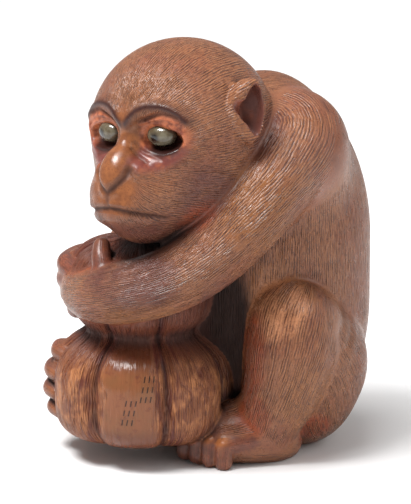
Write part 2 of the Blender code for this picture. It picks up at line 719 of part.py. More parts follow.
def finish_underside(mesh):
    """Cuts the underside off along the floor and closes it with flat faces."""
    work = bmesh.new()
    work.from_mesh(mesh)
    keep_outer_shell(work)
    everything = work.verts[:] + work.edges[:] + work.faces[:]
    cut = bmesh.ops.bisect_plane(work, geom=everything, dist=FLOOR_REACH, plane_co=(0, 0, 0),
                                 plane_no=(0, 0, -1), clear_outer=True)
    rim = [item for item in cut["geom_cut"] if isinstance(item, bmesh.types.BMEdge)]
    for edge in rim:
        for vertex in edge.verts:
            vertex.co.z = 0.0
    bmesh.ops.triangle_fill(work, use_beauty=True, edges=rim, normal=(0, 0, -1))
    bmesh.ops.triangulate(work, faces=work.faces[:])
    work.to_mesh(mesh)
    work.free()


def centre_over_origin(mesh):
    """Moves the carving so that its box stands on the origin, and gives the move."""
    corners = np.array([vertex.co for vertex in mesh.vertices])
    middle = (corners.min(axis=0) + corners.max(axis=0)) / 2
    move = Vector((-middle[0], -middle[1], 0.0))
    mesh.transform(Matrix.Translation(move))
    return move


def carving_mesh():
    values = lattice_distances(LATTICE_CELL)
    vertices, faces = surface_net(values, LATTICE_CELL)
    vertices = pulled_to_surface(vertices, LATTICE_CELL)
    mesh = bpy.data.meshes.new("carving_fine")
    mesh.from_pydata((vertices * SHARE).tolist(), [], faces.tolist())
    fine = bpy.data.objects.new("carving_fine", mesh)
    bpy.context.scene.collection.objects.link(fine)
    thin = fine.modifiers.new("thin out", "DECIMATE")
    thin.ratio = CARVING_TRIANGLES / (2 * len(faces))
    thinned = evaluated_mesh(fine)
    bpy.data.objects.remove(fine)
    finish_underside(thinned)
    return thinned


EYE_SIDES = 20
DOME_RINGS = 4


def eye_mesh(name, clearance):
    """An oval shank with a domed front along +Z, every surface moved out by the clearance."""
    shank = (SHANK_WIDTH / 2 + clearance, SHANK_HEIGHT / 2 + clearance)
    dome = (EYE_WIDTH / 2 + clearance, EYE_HEIGHT / 2 + clearance)
    rings = [(*shank, -SHANK_LENGTH - clearance), (*shank, -clearance)]
    for i in range(DOME_RINGS):
        angle = i / DOME_RINGS * np.pi / 2
        shrink = np.cos(angle)
        rise = (EYE_BULGE + clearance) * np.sin(angle) - clearance * (1 - np.sin(angle))
        rings.append((dome[0] * shrink, dome[1] * shrink, rise))
    work = bmesh.new()
    loops = []
    for across, up, rise in rings:
        bearings = [2 * np.pi * i / EYE_SIDES for i in range(EYE_SIDES)]
        loops.append([work.verts.new((across * np.cos(b), up * np.sin(b), rise)) for b in bearings])
    work.faces.new(loops[0][::-1])
    for lower, upper in itertools.pairwise(loops):
        for i in range(EYE_SIDES):
            j = (i + 1) % EYE_SIDES
            work.faces.new((lower[i], lower[j], upper[j], upper[i]))
    tip = work.verts.new((0.0, 0.0, EYE_BULGE + clearance))
    for i in range(EYE_SIDES):
        work.faces.new((loops[-1][i], loops[-1][(i + 1) % EYE_SIDES], tip))
    mesh = bpy.data.meshes.new(name)
    work.to_mesh(mesh)
    work.free()
    mesh.shade_smooth()
    return mesh


# Where the eyes look, in the head's frame: the seat is where the dome starts from the shank
EYE_SEAT = (4.85, 10.8, 1.75)
EYE_OUTWARD = 12.0


def eye_placement(side):
    """The matrix of one eye beside the form; side is 1 for the figure's left and -1 for its right."""
    angle = np.radians(EYE_OUTWARD) * side
    forward = np.array([np.sin(angle), np.cos(angle), 0.0])
    up = np.array([0.0, 0.0, 1.0])
    frame = np.array([np.cross(up, forward), up, forward]) @ HEAD_AXES
    seat = np.array([EYE_SEAT[0] * side, EYE_SEAT[1], EYE_SEAT[2]])
    place = (HEAD_PLACE + seat @ HEAD_AXES) * SHARE
    return Matrix.Translation(Vector(place)) @ Matrix(frame.T.tolist()).to_4x4()


def cutter(name, mesh, placement):
    tool = bpy.data.objects.new(name, mesh)
    bpy.context.scene.collection.objects.link(tool)
    tool.matrix_world = placement
    tool.hide_render = True
    tool.display_type = "WIRE"
    return tool


def build():
    for old in list(bpy.data.objects):
        bpy.data.objects.remove(old)
    wood = material("carved_wood", (0.28, 0.11, 0.05), 0.45)
    horn = material("horn", (0.33, 0.33, 0.25), 0.15)
    block = carving_mesh()
    move = centre_over_origin(block)
    carving = place_object("monkey_and_gourd_carving", block, wood)
    for name, side in (("left_eye", 1), ("right_eye", -1)):
        placement = Matrix.Translation(move) @ eye_placement(side)
        eye = place_object(name, eye_mesh(name, 0.0), horn)
        eye.matrix_world = placement
        socket = cutter(f"{name}_socket", eye_mesh(f"{name}_socket", EYE_CLEARANCE), placement)
        cut = carving.modifiers.new(f"{name} socket", "BOOLEAN")
        cut.operation = "DIFFERENCE"
        cut.solver = "EXACT"
        cut.object = socket


build()
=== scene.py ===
"""Looks of the okimono: a seated monkey hugging a double-lobed gourd, with engraved hair and inlaid eyes.

The carving's form is written in shares of its height, and the fine surface follows the same form as the
solid. The engraved hair and the gourd's wrinkles are cut into that surface. The same lie of the hair steers
the colours of the stained wood.
"""

import copy
import functools
import itertools
import json
from types import SimpleNamespace

import bmesh
import bpy
import numpy as np
from mathutils import Matrix, Vector, kdtree

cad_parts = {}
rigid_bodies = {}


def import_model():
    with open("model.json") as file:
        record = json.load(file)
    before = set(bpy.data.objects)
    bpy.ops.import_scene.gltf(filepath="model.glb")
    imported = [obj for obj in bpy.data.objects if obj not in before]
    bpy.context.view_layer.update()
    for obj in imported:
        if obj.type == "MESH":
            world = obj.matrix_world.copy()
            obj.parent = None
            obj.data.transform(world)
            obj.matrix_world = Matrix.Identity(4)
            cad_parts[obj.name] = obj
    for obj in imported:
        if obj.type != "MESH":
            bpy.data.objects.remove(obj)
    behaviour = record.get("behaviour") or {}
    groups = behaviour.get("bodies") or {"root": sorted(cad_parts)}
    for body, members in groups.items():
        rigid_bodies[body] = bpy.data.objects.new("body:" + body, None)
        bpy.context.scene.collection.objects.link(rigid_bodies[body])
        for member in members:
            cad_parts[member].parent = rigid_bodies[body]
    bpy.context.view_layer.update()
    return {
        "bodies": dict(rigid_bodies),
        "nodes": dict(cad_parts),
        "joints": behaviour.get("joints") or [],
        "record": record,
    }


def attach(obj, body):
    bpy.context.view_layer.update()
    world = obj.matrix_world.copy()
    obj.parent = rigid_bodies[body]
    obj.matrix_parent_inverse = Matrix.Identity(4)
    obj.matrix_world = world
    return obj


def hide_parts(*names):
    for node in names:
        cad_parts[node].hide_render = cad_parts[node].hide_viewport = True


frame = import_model()
CARVING_NODE = "monkey_and_gourd_carving"


# Driving sizes in metres
FIGURE_HEIGHT = 0.065
EYE_WIDTH = 0.0048
EYE_HEIGHT = 0.0034
EYE_BULGE = 0.0018
SHANK_WIDTH = 0.0034
SHANK_HEIGHT = 0.0024
SHANK_LENGTH = 0.0016

SHARES = 65.0
SHARE = FIGURE_HEIGHT / SHARES

# Distances are only worked out this close to a form, in shares
FAR = 9.0
REACH = 4.5


class Points:
    """Points in space and the box round them, so that forms that are far away can be skipped."""

    def __init__(self, places):
        self.places = places
        self.low = places.min(axis=0) - 0.1
        self.high = places.max(axis=0) + 0.1

    def gap(self, centre):
        """Distance from the box to a centre, or to each of many centres."""
        centre = np.asarray(centre, dtype=float)
        outside = np.maximum(np.maximum(self.low - centre, centre - self.high), 0.0)
        return np.sqrt((outside ** 2).sum(axis=-1))

    def near(self, centre, radius):
        return self.gap(centre) < radius + REACH

    def nothing(self):
        return np.full(len(self.places), FAR)


def length(vectors):
    return np.sqrt(np.einsum("ij,ij->i", vectors, vectors))


def join(first, second, blend):
    """The union of two distances, with a fillet of about the blend."""
    overlap = np.maximum(blend - np.abs(first - second), 0.0) / blend
    return np.minimum(first, second) - overlap ** 2 * blend / 4


def carve(first, second, blend):
    """The first form with the second taken away."""
    return -join(-first, second, blend)


def meet(first, second, blend):
    """What the two forms share."""
    return -join(-first, -second, blend)


def scaled_distance(offsets, radii):
    radii = np.asarray(radii, dtype=float)
    near = length(offsets / radii)
    steep = length(offsets / radii ** 2)
    return near * (near - 1.0) / np.maximum(steep, 1e-9)


def ellipsoid(points, centre, radii, axes=None):
    if not points.near(centre, max(radii)):
        return points.nothing()
    offsets = points.places - np.asarray(centre, dtype=float)
    if axes is not None:
        offsets = offsets @ axes.T
    return scaled_distance(offsets, radii)


def pillar(points, centre, radii, bottom):
    """An ellipsoid whose middle is drawn down as a column to the bottom height, and rounded off below it."""
    offsets = points.places - np.asarray(centre, dtype=float)
    rise = offsets[:, 2]
    sink = points.places[:, 2] - bottom
    offsets[:, 2] = np.where(rise > 0, rise, np.minimum(sink, 0.0))
    return scaled_distance(offsets, radii)


class Limb:
    """A round form of changing radius along a smooth curve through its points."""

    def __init__(self, points, radii, steps=4):
        knots = np.column_stack([np.asarray(points, dtype=float), radii])
        knots = np.vstack([2 * knots[0] - knots[1], knots, 2 * knots[-1] - knots[-2]])
        spans = [catmull_rom(knots[i:i + 4], steps) for i in range(len(knots) - 3)]
        course = np.vstack(spans + [knots[-2:-1]])
        self.starts = course[:-1, :3]
        self.runs = np.diff(course[:, :3], axis=0)
        self.radii = course[:-1, 3]
        self.swells = np.diff(course[:, 3])
        self.middles = self.starts + self.runs / 2
        self.sizes = length(self.runs) / 2 + np.maximum(course[:-1, 3], course[1:, 3])
        self.centre = self.middles.mean(axis=0)
        self.size = (length(self.middles - self.centre) + self.sizes).max()

    def stretches(self, points):
        """Each stretch near the points: its number, and their share along it, way from it and distance."""
        if not points.near(self.centre, self.size):
            return
        for i in np.flatnonzero(points.gap(self.middles) < self.sizes + REACH):
            offsets = points.places - self.starts[i]
            run = self.runs[i]
            share = np.clip(offsets @ run / (run @ run), 0.0, 1.0)
            away = offsets - np.outer(share, run)
            yield i, share, away, length(away) - (self.radii[i] + share * self.swells[i])

    def __call__(self, points):
        best = points.nothing()
        for _, _, _, distance in self.stretches(points):
            best = np.minimum(best, distance)
        return best


def catmull_rom(knots, steps):
    before, start, end, after = knots
    t = np.linspace(0.0, 1.0, steps, endpoint=False)[:, None]
    slope = end - before
    bend = 2 * before - 5 * start + 4 * end - after
    twist = 3 * start - before - 3 * end + after
    return 0.5 * (2 * start + slope * t + bend * t ** 2 + twist * t ** 3)


class Line(Limb):
    """A thin curve on the surface, along which relief is raised or sunk."""

    def __init__(self, points, steps=4):
        super().__init__(points, [0.0] * len(points), steps)


def relief(distance, points, line, width, height):
    """Raises the surface along a line with a soft section, or sinks it where the height is negative."""
    if not points.near(line.centre, line.size):
        return distance
    return distance - height * np.exp(-(line(points) / width) ** 2)


def turned(axis, degrees):
    """Rotation about X, Y or Z."""
    return np.array(Matrix.Rotation(np.radians(degrees), 3, axis))


# The gourd
GOURD_PLACE = (0.0, -15.5)
LOBE = (14.1, 11.6, 8.9)
LOBE_FULLNESS = (4.2, 2.5)
CROWN = (11.4, 27.0, 7.2)
CROWN_FULLNESS = (3.5, 3.0)
WAIST_FILLET = 3.0
RIBS = 7
RIB_TURN = 38.5
GROOVE_DEPTH = 1.25
GROOVE_WIDTH = 0.28
RIB_SWELL = 0.45


def bulb(across, height, size, fullness):
    """A turned form from its radius, middle height and half height, with the fullness below and above."""
    radius, middle, half = size
    rise = np.abs(height - middle)
    fullness = np.where(height < middle, *fullness)
    level = ((across / radius) ** fullness + (rise / half) ** fullness) ** (1 / fullness)
    level = np.maximum(level, 0.05)
    slope_across = across ** (fullness - 1) / radius ** fullness
    slope_up = rise ** (fullness - 1) / half ** fullness
    slope = level ** (1 - fullness) * np.hypot(slope_across, slope_up)
    return (level - 1.0) / np.maximum(slope, 0.03)


def gourd(points):
    offsets = points.places - np.array([*GOURD_PLACE, 0.0])
    across = np.hypot(offsets[:, 0], offsets[:, 1])
    bearing = np.arctan2(-offsets[:, 1], offsets[:, 0])
    crest = np.abs(np.cos((bearing - np.radians(RIB_TURN)) * RIBS / 2))
    dip = GROOVE_DEPTH * np.exp(-(crest / GROOVE_WIDTH) ** 2) + RIB_SWELL * (1 - crest)
    across = across + dip * np.clip(across / CROWN[0], 0.0, 1.0)
    lobe = bulb(across, offsets[:, 2], LOBE, LOBE_FULLNESS)
    crown = bulb(across, offsets[:, 2], CROWN, CROWN_FULLNESS)
    return join(lobe, crown, WAIST_FILLET)


def around(bearing, distance, height):
    """A place round the gourd's axis, its bearing counted from the figure's left towards the front."""
    angle = np.radians(bearing)
    x, y = GOURD_PLACE
    return (x + distance * np.cos(angle), y - distance * np.sin(angle), height)


# The body: place and radii of each ellipsoid, then the lower end of the back, or the blend to what is there
BACK = ((0.0, 7.0, 31.5), (15.2, 16.1, 24.4), 21.5)
RUMP = ((6.9, 8.4, 11.0), (9.5, 9.2, 11.2), 3.0)
SHOULDER = ((10.0, 5.8, 46.2), (7.6, 7.9, 7.8), 5.0)
NECK = Limb([(0.2, 5.6, 49.7), (0.8, 0.5, 48.0), (1.5, -5.0, 48.0)], [7.6, 9.3, 9.5])
NECK_FILLET = 4.0
BELLY = ((0.0, -3.5, 19.5), (8.5, 7.5, 13.5), 2.0)
SEAT = ((0.0, -4.5, 1.4), (8.0, 6.5, 3.2), 1.5)


def with_ellipsoids(points, form, operation, *shapes):
    """The form with ellipsoids joined to it or carved from it, each with its place, radii and blend."""
    for centre, radii, blend, *axes in shapes:
        form = operation(form, ellipsoid(points, centre, radii, *axes), blend)
    return form


def body(points):
    sides = Points(np.column_stack([np.abs(points.places[:, 0]), points.places[:, 1:]]))
    form = with_ellipsoids(sides, pillar(points, *BACK), join, RUMP, SHOULDER)
    return with_ellipsoids(points, join(form, NECK(points), NECK_FILLET), join, BELLY, SEAT)


# The arms and hands
LEFT_FOREARM = [(14.2, -10.5, 34.8), (12.9, -15.5, 31.2), (11.0, -20.0, 29.2), (7.9, -23.4, 28.0),
                (4.6, -24.6, 27.1), (1.4, -24.7, 26.5), (-1.8, -24.2, 26.1), (-4.8, -22.8, 25.8)]
LEFT_ARM = Limb([(8.5, 7.0, 49.0), (11.6, 4.0, 47.6), (13.9, 0.0, 44.8), (14.9, -5.0, 40.0)] + LEFT_FOREARM,
                [6.8, 6.8, 6.4, 6.0, 5.6, 5.2, 4.9, 4.7, 4.4, 4.1, 3.9, 3.6])
RIGHT_FOREARM = [(-14.0, -4.5, 32.5), (-12.6, -10.5, 27.2), (-10.8, -16.0, 25.4), (-8.4, -20.2, 25.0)]
RIGHT_ARM = Limb([(-8.5, 7.0, 49.0), (-11.4, 4.5, 45.5), (-13.6, 0.5, 39.5)] + RIGHT_FOREARM,
                 [6.8, 6.8, 6.2, 5.5, 5.0, 4.4, 3.8])
ARM_FILLET = 2.6
LEFT_THUMB = Limb([(5.4, -24.6, 28.5), (4.8, -24.9, 31.0), (3.8, -24.7, 32.8), (2.7, -24.0, 34.2)],
                  [2.2, 1.7, 1.5, 1.35])
FINGER_RADII = [1.7, 1.6, 1.5, 1.4, 1.2]
FINGER_CREASE = 0.7
TOE_CREASE = 0.3
HAND_FILLET = 0.6


def clasping(knuckles, height, step, root, drop, spread, course, radii):
    """Four digits that wrap round the gourd.

    The knuckles are so far out from its axis, the first at the height and each of the others a step lower.
    The roots gather at a place that many steps down, spread by a share of the way back. Places on the root
    and the course are a bearing, how far out from the knuckle and how far above the digit's own height.
    """
    gathered = height - drop * step
    limbs = []
    for i, distance in enumerate(knuckles):
        own = height - step * i
        places = [around(root[0], distance + root[1], gathered + spread * (own - gathered) + root[2])]
        places += [around(bearing, distance + out, own + rise) for bearing, out, rise in course]
        limbs.append(Limb(places, radii, 3))
    return limbs


LEFT_FINGERS = clasping(
    knuckles=(11.8, 11.9, 11.3, 10.3), height=29.6, step=2.3, root=(112, -1.6, 0.0), drop=1.35, spread=0.7,
    course=((126, -0.2, -0.2), (140, 0.1, 0.0), (158, 0.0, 0.2), (178, -1.2, 0.4)), radii=FINGER_RADII)
RIGHT_FINGERS = clasping(
    knuckles=(10.6,) * 4, height=29.0, step=2.1, root=(204, 0.0, -0.5), drop=0.0, spread=1.0,
    course=((190, 0.2, 0.0), (174, 0.0, 0.0), (160, -0.6, -0.3)), radii=FINGER_RADII[1:])
RIGHT_TOES = clasping(
    knuckles=(12.5, 13.6, 13.8, 13.2), height=15.5, step=2.95, root=(146, 0.2, 0.0), drop=1.45, spread=0.45,
    course=((136, 0.5, 0.0), (126, 0.4, 0.0), (118, -0.6, -0.3)), radii=[1.7, 1.5, 1.35, 1.15])


def digits(points, limbs, crease):
    """Fingers or toes side by side, with a crease of the given softness between them."""
    return functools.reduce(lambda form, limb: join(form, limb, crease), [limb(points) for limb in limbs])


def arms(points, form):
    form = join(form, LEFT_ARM(points), ARM_FILLET)
    form = join(form, RIGHT_ARM(points), ARM_FILLET)
    left_hand = join(digits(points, LEFT_FINGERS, FINGER_CREASE), LEFT_THUMB(points), FINGER_CREASE)
    form = join(form, left_hand, HAND_FILLET)
    return join(form, digits(points, RIGHT_FINGERS, TOE_CREASE), HAND_FILLET)


# The legs and feet
HAUNCH_RADII = (9.4, 9.4, 12.2)
THIGH_FILLET = 3.0


def thigh(haunch, limb):
    """The distance to a thigh and its haunch together."""
    return lambda points: join(ellipsoid(points, haunch, HAUNCH_RADII), limb(points), THIGH_FILLET)


LEFT_THIGH = thigh((8.6, 8.0, 12.4), Limb([(14.0, 4.5, 20.5), (10.5, 8.6, 14.0)], [6.4, 8.0], 3))
LEFT_SHIN = Limb([(14.6, 2.6, 21.2), (15.0, 2.0, 17.0), (14.6, 1.0, 12.0), (13.9, -0.4, 8.0),
                  (13.5, -1.4, 5.4)], [6.9, 7.0, 6.2, 5.4, 4.9])
LEFT_SOLE = Limb([(13.5, 1.6, 2.6), (13.7, -0.6, 3.3), (13.5, -4.0, 3.8), (12.4, -7.6, 3.6)],
                 [3.0, 3.8, 3.9, 3.4], 3)
LEFT_INSTEP = Limb([(12.2, -3.0, 6.8), (10.5, -6.8, 5.6), (9.3, -9.8, 4.4)], [3.6, 3.1, 2.0], 3)
# The first and last knuckle, and from a knuckle to the toe's root, its bend and its tip
LEFT_TOE_ROW = ((8.0, -12.3, 4.0), (14.6, -9.4, 3.5))
LEFT_TOE_BOW = 0.9
LEFT_TOE_ROOT = (1.2, 4.4, 0.5)
LEFT_TOE_BEND = (0.3, 1.0, 0.2)
LEFT_TOE_TIP = (0.25, -0.3, -2.4)
TOE_ROOT_RADIUS = 1.5
TOE_RADIUS = 1.4
RIGHT_THIGH = thigh((-8.4, 8.0, 12.4), Limb([(-13.2, 1.0, 20.4), (-10.5, 8.0, 14.0)], [6.4, 8.6], 3))
RIGHT_SHIN = Limb([(-13.6, 0.0, 21.0), (-15.6, -4.0, 18.0), (-16.4, -9.5, 13.0), (-15.4, -14.6, 9.4),
                   (-14.4, -18.4, 8.4)], [6.6, 6.6, 5.6, 4.6, 4.2])
RIGHT_SOLE = Limb([around(172, 15.0, 8.2), around(162, 14.4, 9.6), around(152, 13.8, 10.8),
                   around(142, 13.0, 11.6)], [4.0, 3.6, 3.2, 2.6], 3)
KNEE_CREASE = 0.8
LEG_FILLET = 1.0
FOOT_FILLET = 1.5


def left_toes():
    """Four toes in a row, each with a knuckle at the front and its end bent straight down to the floor."""
    first, last = np.array(LEFT_TOE_ROW)
    uppers = []
    ends = []
    for t in np.linspace(0.0, 1.0, 4):
        knuckle = first + (last - first) * t
        knuckle[1] -= LEFT_TOE_BOW * t * (1 - t)
        course = [knuckle + np.array(LEFT_TOE_ROOT), knuckle + np.array(LEFT_TOE_BEND), knuckle]
        uppers.append(Limb(course, [TOE_ROOT_RADIUS, TOE_RADIUS, TOE_RADIUS], 2))
        ends.append(Limb([knuckle, knuckle + np.array(LEFT_TOE_TIP)], [TOE_RADIUS, TOE_RADIUS], 1))
    return uppers, ends


LEFT_TOE_UPPERS, LEFT_TOE_ENDS = left_toes()


def legs(points, form):
    left = join(LEFT_SHIN(points), LEFT_THIGH(points), KNEE_CREASE)
    right = join(RIGHT_SHIN(points), RIGHT_THIGH(points), KNEE_CREASE)
    form = join(form, join(left, right, KNEE_CREASE), LEG_FILLET)
    foot = join(LEFT_SOLE(points), LEFT_INSTEP(points), FOOT_FILLET)
    foot = join(foot, digits(points, LEFT_TOE_UPPERS, TOE_CREASE), TOE_CREASE)
    foot = join(foot, digits(points, LEFT_TOE_ENDS, TOE_CREASE / 2), TOE_CREASE / 2)
    form = join(form, foot, LEG_FILLET)
    other = join(RIGHT_SOLE(points), digits(points, RIGHT_TOES, TOE_CREASE), TOE_CREASE)
    return join(form, other, LEG_FILLET)


# The head, in its own frame: side (towards the figure's left), forward, up
HEAD_PLACE = np.array([3.0, -10.0, 51.1])
HEAD_SIZE = 22.0
HEAD_TURN = 22.0
HEAD_NOD = -4.0
HEAD_TILT = 4.0
HEAD_AXES = turned("Y", HEAD_TILT) @ turned("X", HEAD_NOD) @ turned("Z", -HEAD_TURN)
HEAD_AXES = HEAD_AXES * np.array([[1.0], [-1.0], [1.0]])

# Place, radii and blend of each ellipsoid
SKULL = ((0, 0.1, 0.1), (13.8, 14.4, 13.6))
CHEEKS = ((0, 3.5, -7.0), (11.4, 11.2, 9.0), 3.0)
MUZZLE = ((0, 10.6, -7.4), (8.0, 8.6, 6.6), 2.0)
CHIN = ((0, 10.2, -11.6), (5.4, 5.7, 3.7), 1.2)
FACE_FLAT = ((0, 19.0, 2.2), (9.5, 5.9, 3.6), 2.0)
EYE_HOLLOW = ((5.2, 14.4, 2.0), (4.2, 3.0, 3.2), 1.2)
# The lids close round the eyes a little further than in the solid
EYE_OPENING = ((5.85, 12.2, 1.2), (3.4, 2.7, 1.72), 0.5)
NOSE_WING = ((3.0, 15.4, -3.3), (1.5, 1.6, 1.7), 1.2)
NOSE = ((0, 16.2, -3.0), (2.85, 2.65, 4.4), 0.5, turned("X", -36))
BRIDGE = Limb([(0, 12.7, 4.2), (0, 13.0, 1.6), (0, 14.2, -0.6)], [0.9, 1.2, 1.6])
BRIDGE_FILLET = 1.2
BROW = Line([(0.5, 13.9, 3.9), (1.9, 13.3, 5.6), (3.6, 12.4, 6.4), (6.0, 11.6, 6.3), (8.0, 10.9, 5.3),
             (9.4, 10.3, 3.9)])
# Each line of the face with the width and height of its relief
FACE_LINES = [
    (Line([(2.75, 16.8, -2.3), (2.4, 17.9, -3.3), (1.4, 18.8, -4.4), (0.1, 19.4, -5.4)], 5), 0.45, -0.95),
    (Line([(0, 19.5, -5.6), (0, 19.3, -7.5)], 2), 0.35, -0.3),
    (Line([(0, 19.4, -7.1), (1.8, 19.0, -7.3), (3.6, 18.3, -7.7), (5.2, 16.8, -8.3)]), 0.45, 0.25),
    (Line([(0, 18.8, -9.3), (2.4, 18.0, -9.6), (4.6, 16.2, -10.3)]), 0.9, 0.45),
    (Line([(0, 19.2, -7.8), (1.8, 18.9, -8.0), (3.6, 18.1, -8.5), (5.2, 16.6, -9.1), (6.5, 14.7, -9.9)]),
     0.35, -0.7),
    (Line([(1.8, 12.5, 2.4), (2.9, 12.3, 3.6), (4.9, 12.0, 4.1), (7.0, 11.6, 3.8), (9.1, 10.6, 2.4)]),
     0.5, 0.5),
    (Line([(2.4, 12.5, 4.1), (4.5, 12.2, 4.9), (6.3, 12.0, 5.2), (8.2, 11.3, 4.5)]), 0.4, -0.55),
    (Line([(1.7, 12.7, 1.7), (2.5, 12.8, 0.0), (4.3, 12.8, -1.2), (6.2, 12.4, -1.2), (7.9, 11.5, 0.0),
           (9.1, 10.6, 1.9)]), 0.45, 0.55),
    (Line([(1.6, 13.3, 0.6), (2.2, 13.4, -0.6), (3.4, 13.5, -1.6), (5.0, 13.3, -2.2), (6.6, 12.6, -2.4),
           (8.6, 11.1, -1.4)]), 0.4, 0.45),
    (Line([(1.7, 13.6, -0.2), (2.4, 13.9, -1.5), (3.6, 14.1, -2.5), (4.8, 14.2, -3.0)]), 0.4, 0.4),
]

EAR_PLACE = np.array([14.0, 1.2, 3.0])
EAR_LEAN = 18.0
EAR_AXES = turned("Y", -EAR_LEAN) @ np.array([[0.43, -0.90, 0.0], [0.90, 0.43, 0.0], [0.0, 0.0, 1.0]])
FAR_EAR_SHIFT = np.array([-0.6, -3.4, -1.4])
EAR_SLIT = Limb([(-2.9, 1.4, 1.5), (-1.6, 0.4, 0.7), (-0.9, -0.2, -0.7), (-0.7, -0.4, -2.6)],
                [0.9, 0.8, 0.7, 0.4])
# From the side, the leaf and its cup lie where two circles overlap: each one's place back and up, and radius
EAR_BACK_EDGE = (-5.6, 0.0, 7.7)
EAR_FRONT_EDGE = (1.3, 0.8, 5.1)
CUP_FRONT_EDGE = (3.9, 1.8, 5.3)
EAR_RIM = 0.5
EAR_THICKNESS = 1.6
EAR_FLARE = 0.25
CUP_SLOPE = 0.85
CUP_DEPTH = 0.895


def circle(back, up, edge):
    return np.hypot(back - edge[0], up - edge[1]) - edge[2]


def ear(places):
    """A pointed leaf, and the cup and slit cut into it, measured back along it, out from it and up."""
    offsets = (places - EAR_PLACE) @ EAR_AXES.T
    back, out, up = offsets.T
    back_edge = circle(back, up, EAR_BACK_EDGE)
    outline = np.maximum(back_edge, circle(back, up, EAR_FRONT_EDGE))
    leaf = meet(outline, np.abs(out + 0.3 - EAR_FLARE * back) - EAR_THICKNESS, 0.9)
    cup_edge = np.maximum(back_edge + EAR_RIM, circle(back, up, CUP_FRONT_EDGE))
    cup_floor = (out - CUP_SLOPE * back + CUP_DEPTH) / np.hypot(1.0, CUP_SLOPE)
    cup = meet(cup_edge, -cup_floor, 0.7)
    return leaf, join(cup, EAR_SLIT(Points(offsets)), 0.9)


EAR_CREASE = 0.5
BROW_WIDTH = 0.95
BROW_HEIGHT = 0.7


def head(points):
    if not points.near(HEAD_PLACE, HEAD_SIZE):
        return points.nothing()
    places = (points.places - HEAD_PLACE) @ HEAD_AXES.T
    far_side = places[:, 0] < 0
    places[:, 0] = np.abs(places[:, 0])
    near = Points(places)
    form = with_ellipsoids(near, ellipsoid(near, *SKULL), join, CHEEKS, MUZZLE, CHIN)
    form = with_ellipsoids(near, form, carve, FACE_FLAT, EYE_HOLLOW)
    form = relief(form, near, BROW, BROW_WIDTH, BROW_HEIGHT)
    form = with_ellipsoids(near, join(form, BRIDGE(near), BRIDGE_FILLET), join, NOSE_WING, NOSE)
    for line, width, height in FACE_LINES:
        form = relief(form, near, line, width, height)
    leaf, cup = ear(places - np.outer(far_side, FAR_EAR_SHIFT))
    form = carve(join(form, leaf, EAR_CREASE), cup, EAR_CREASE)
    return with_ellipsoids(near, form, carve, EYE_OPENING)


GOURD_CREASE = 0.4
HEAD_CREASE = 0.8


def carving_distance(places):
    """Distance from each place to the whole carving's surface, negative inside the wood."""
    points = Points(places)
    form = body(points)
    form = arms(points, form)
    form = legs(points, form)
    form = join(form, gourd(points), GOURD_CREASE)
    return join(form, head(points), HEAD_CREASE)


# The lattice that the surface is read from, in shares: it reaches a little below the floor
LOW_CORNER = np.array([-24.0, -33.0, -1.5])
HIGH_CORNER = np.array([25.0, 26.0, 67.0])
COARSE_STEPS = 4
BLOCK_STEPS = 3


def in_blocks(cells, steps):
    """Index groups of the lattice cells that lie in the same cube of steps."""
    cubes = cells // steps
    keys = (cubes[:, 0] * 1000 + cubes[:, 1]) * 1000 + cubes[:, 2]
    order = np.argsort(keys, kind="stable")
    breaks = np.flatnonzero(np.diff(keys[order])) + 1
    return np.split(order, breaks)


def distances_at(cells, origin, cell, steps):
    values = np.empty(len(cells))
    for group in in_blocks(cells, steps):
        values[group] = carving_distance(origin + cell * cells[group])
    return values


def lattice_distances(cell):
    """Distances on the whole lattice, exact near the surface and only of the right sign elsewhere."""
    coarse_cell = cell * COARSE_STEPS
    counts = np.ceil((HIGH_CORNER - LOW_CORNER) / coarse_cell).astype(int)
    coarse = np.argwhere(np.ones(counts, dtype=bool))
    middles = LOW_CORNER + coarse_cell / 2
    coarse_values = distances_at(coarse, middles, coarse_cell, BLOCK_STEPS)
    signs = np.where(coarse_values < 0, -FAR, FAR).reshape(counts)
    values = np.kron(signs, np.ones((COARSE_STEPS,) * 3))
    values = np.pad(values, ((0, 1),) * 3, mode="edge")
    close = coarse[np.abs(coarse_values) < 1.5 * coarse_cell] * COARSE_STEPS
    wanted = np.zeros(values.shape, dtype=bool)
    for step in itertools.product(range(COARSE_STEPS + 1), repeat=3):
        wanted[tuple((close + step).T)] = True
    fine = np.argwhere(wanted)
    values[tuple(fine.T)] = distances_at(fine, LOW_CORNER, cell, COARSE_STEPS * 3)
    return values


CORNERS = np.array(list(itertools.product((0, 1), repeat=3)))


def in_pieces(corners):
    """Whether some of a cell's corners aren't joined to the others of them along its edges."""
    places = CORNERS[corners]
    joined = (np.abs(places[:, None] - places).sum(axis=2) < 2).astype(int)
    return (np.linalg.matrix_power(joined, len(CORNERS)) == 0).any()


def split_cases():
    """For each pattern of inside corners, whether the inside or the outside ones fall apart."""
    patterns = (np.arange(256)[:, None] >> np.arange(8) & 1).astype(bool)
    return np.array([in_pieces(inside) or in_pieces(~inside) for inside in patterns])


def corner_cases(inside):
    """The pattern of inside corners of every lattice cell."""
    shape = np.array(inside.shape) - 1
    cases = np.zeros(shape, dtype=np.uint8)
    for bit, (i, j, k) in enumerate(CORNERS):
        cases |= inside[i:i + shape[0], j:j + shape[1], k:k + shape[2]].astype(np.uint8) << bit
    return cases


def fill_split_cells(values):
    """Makes the cells where the surface would pinch solid."""
    split = split_cases()
    cases = corner_cases(values < 0)
    while split[cases].any():
        for corner in CORNERS:
            places = tuple((np.argwhere(split[cases]) + corner).T)
            values[places] = np.minimum(values[places], -0.001)
        cases = corner_cases(values < 0)
    return cases


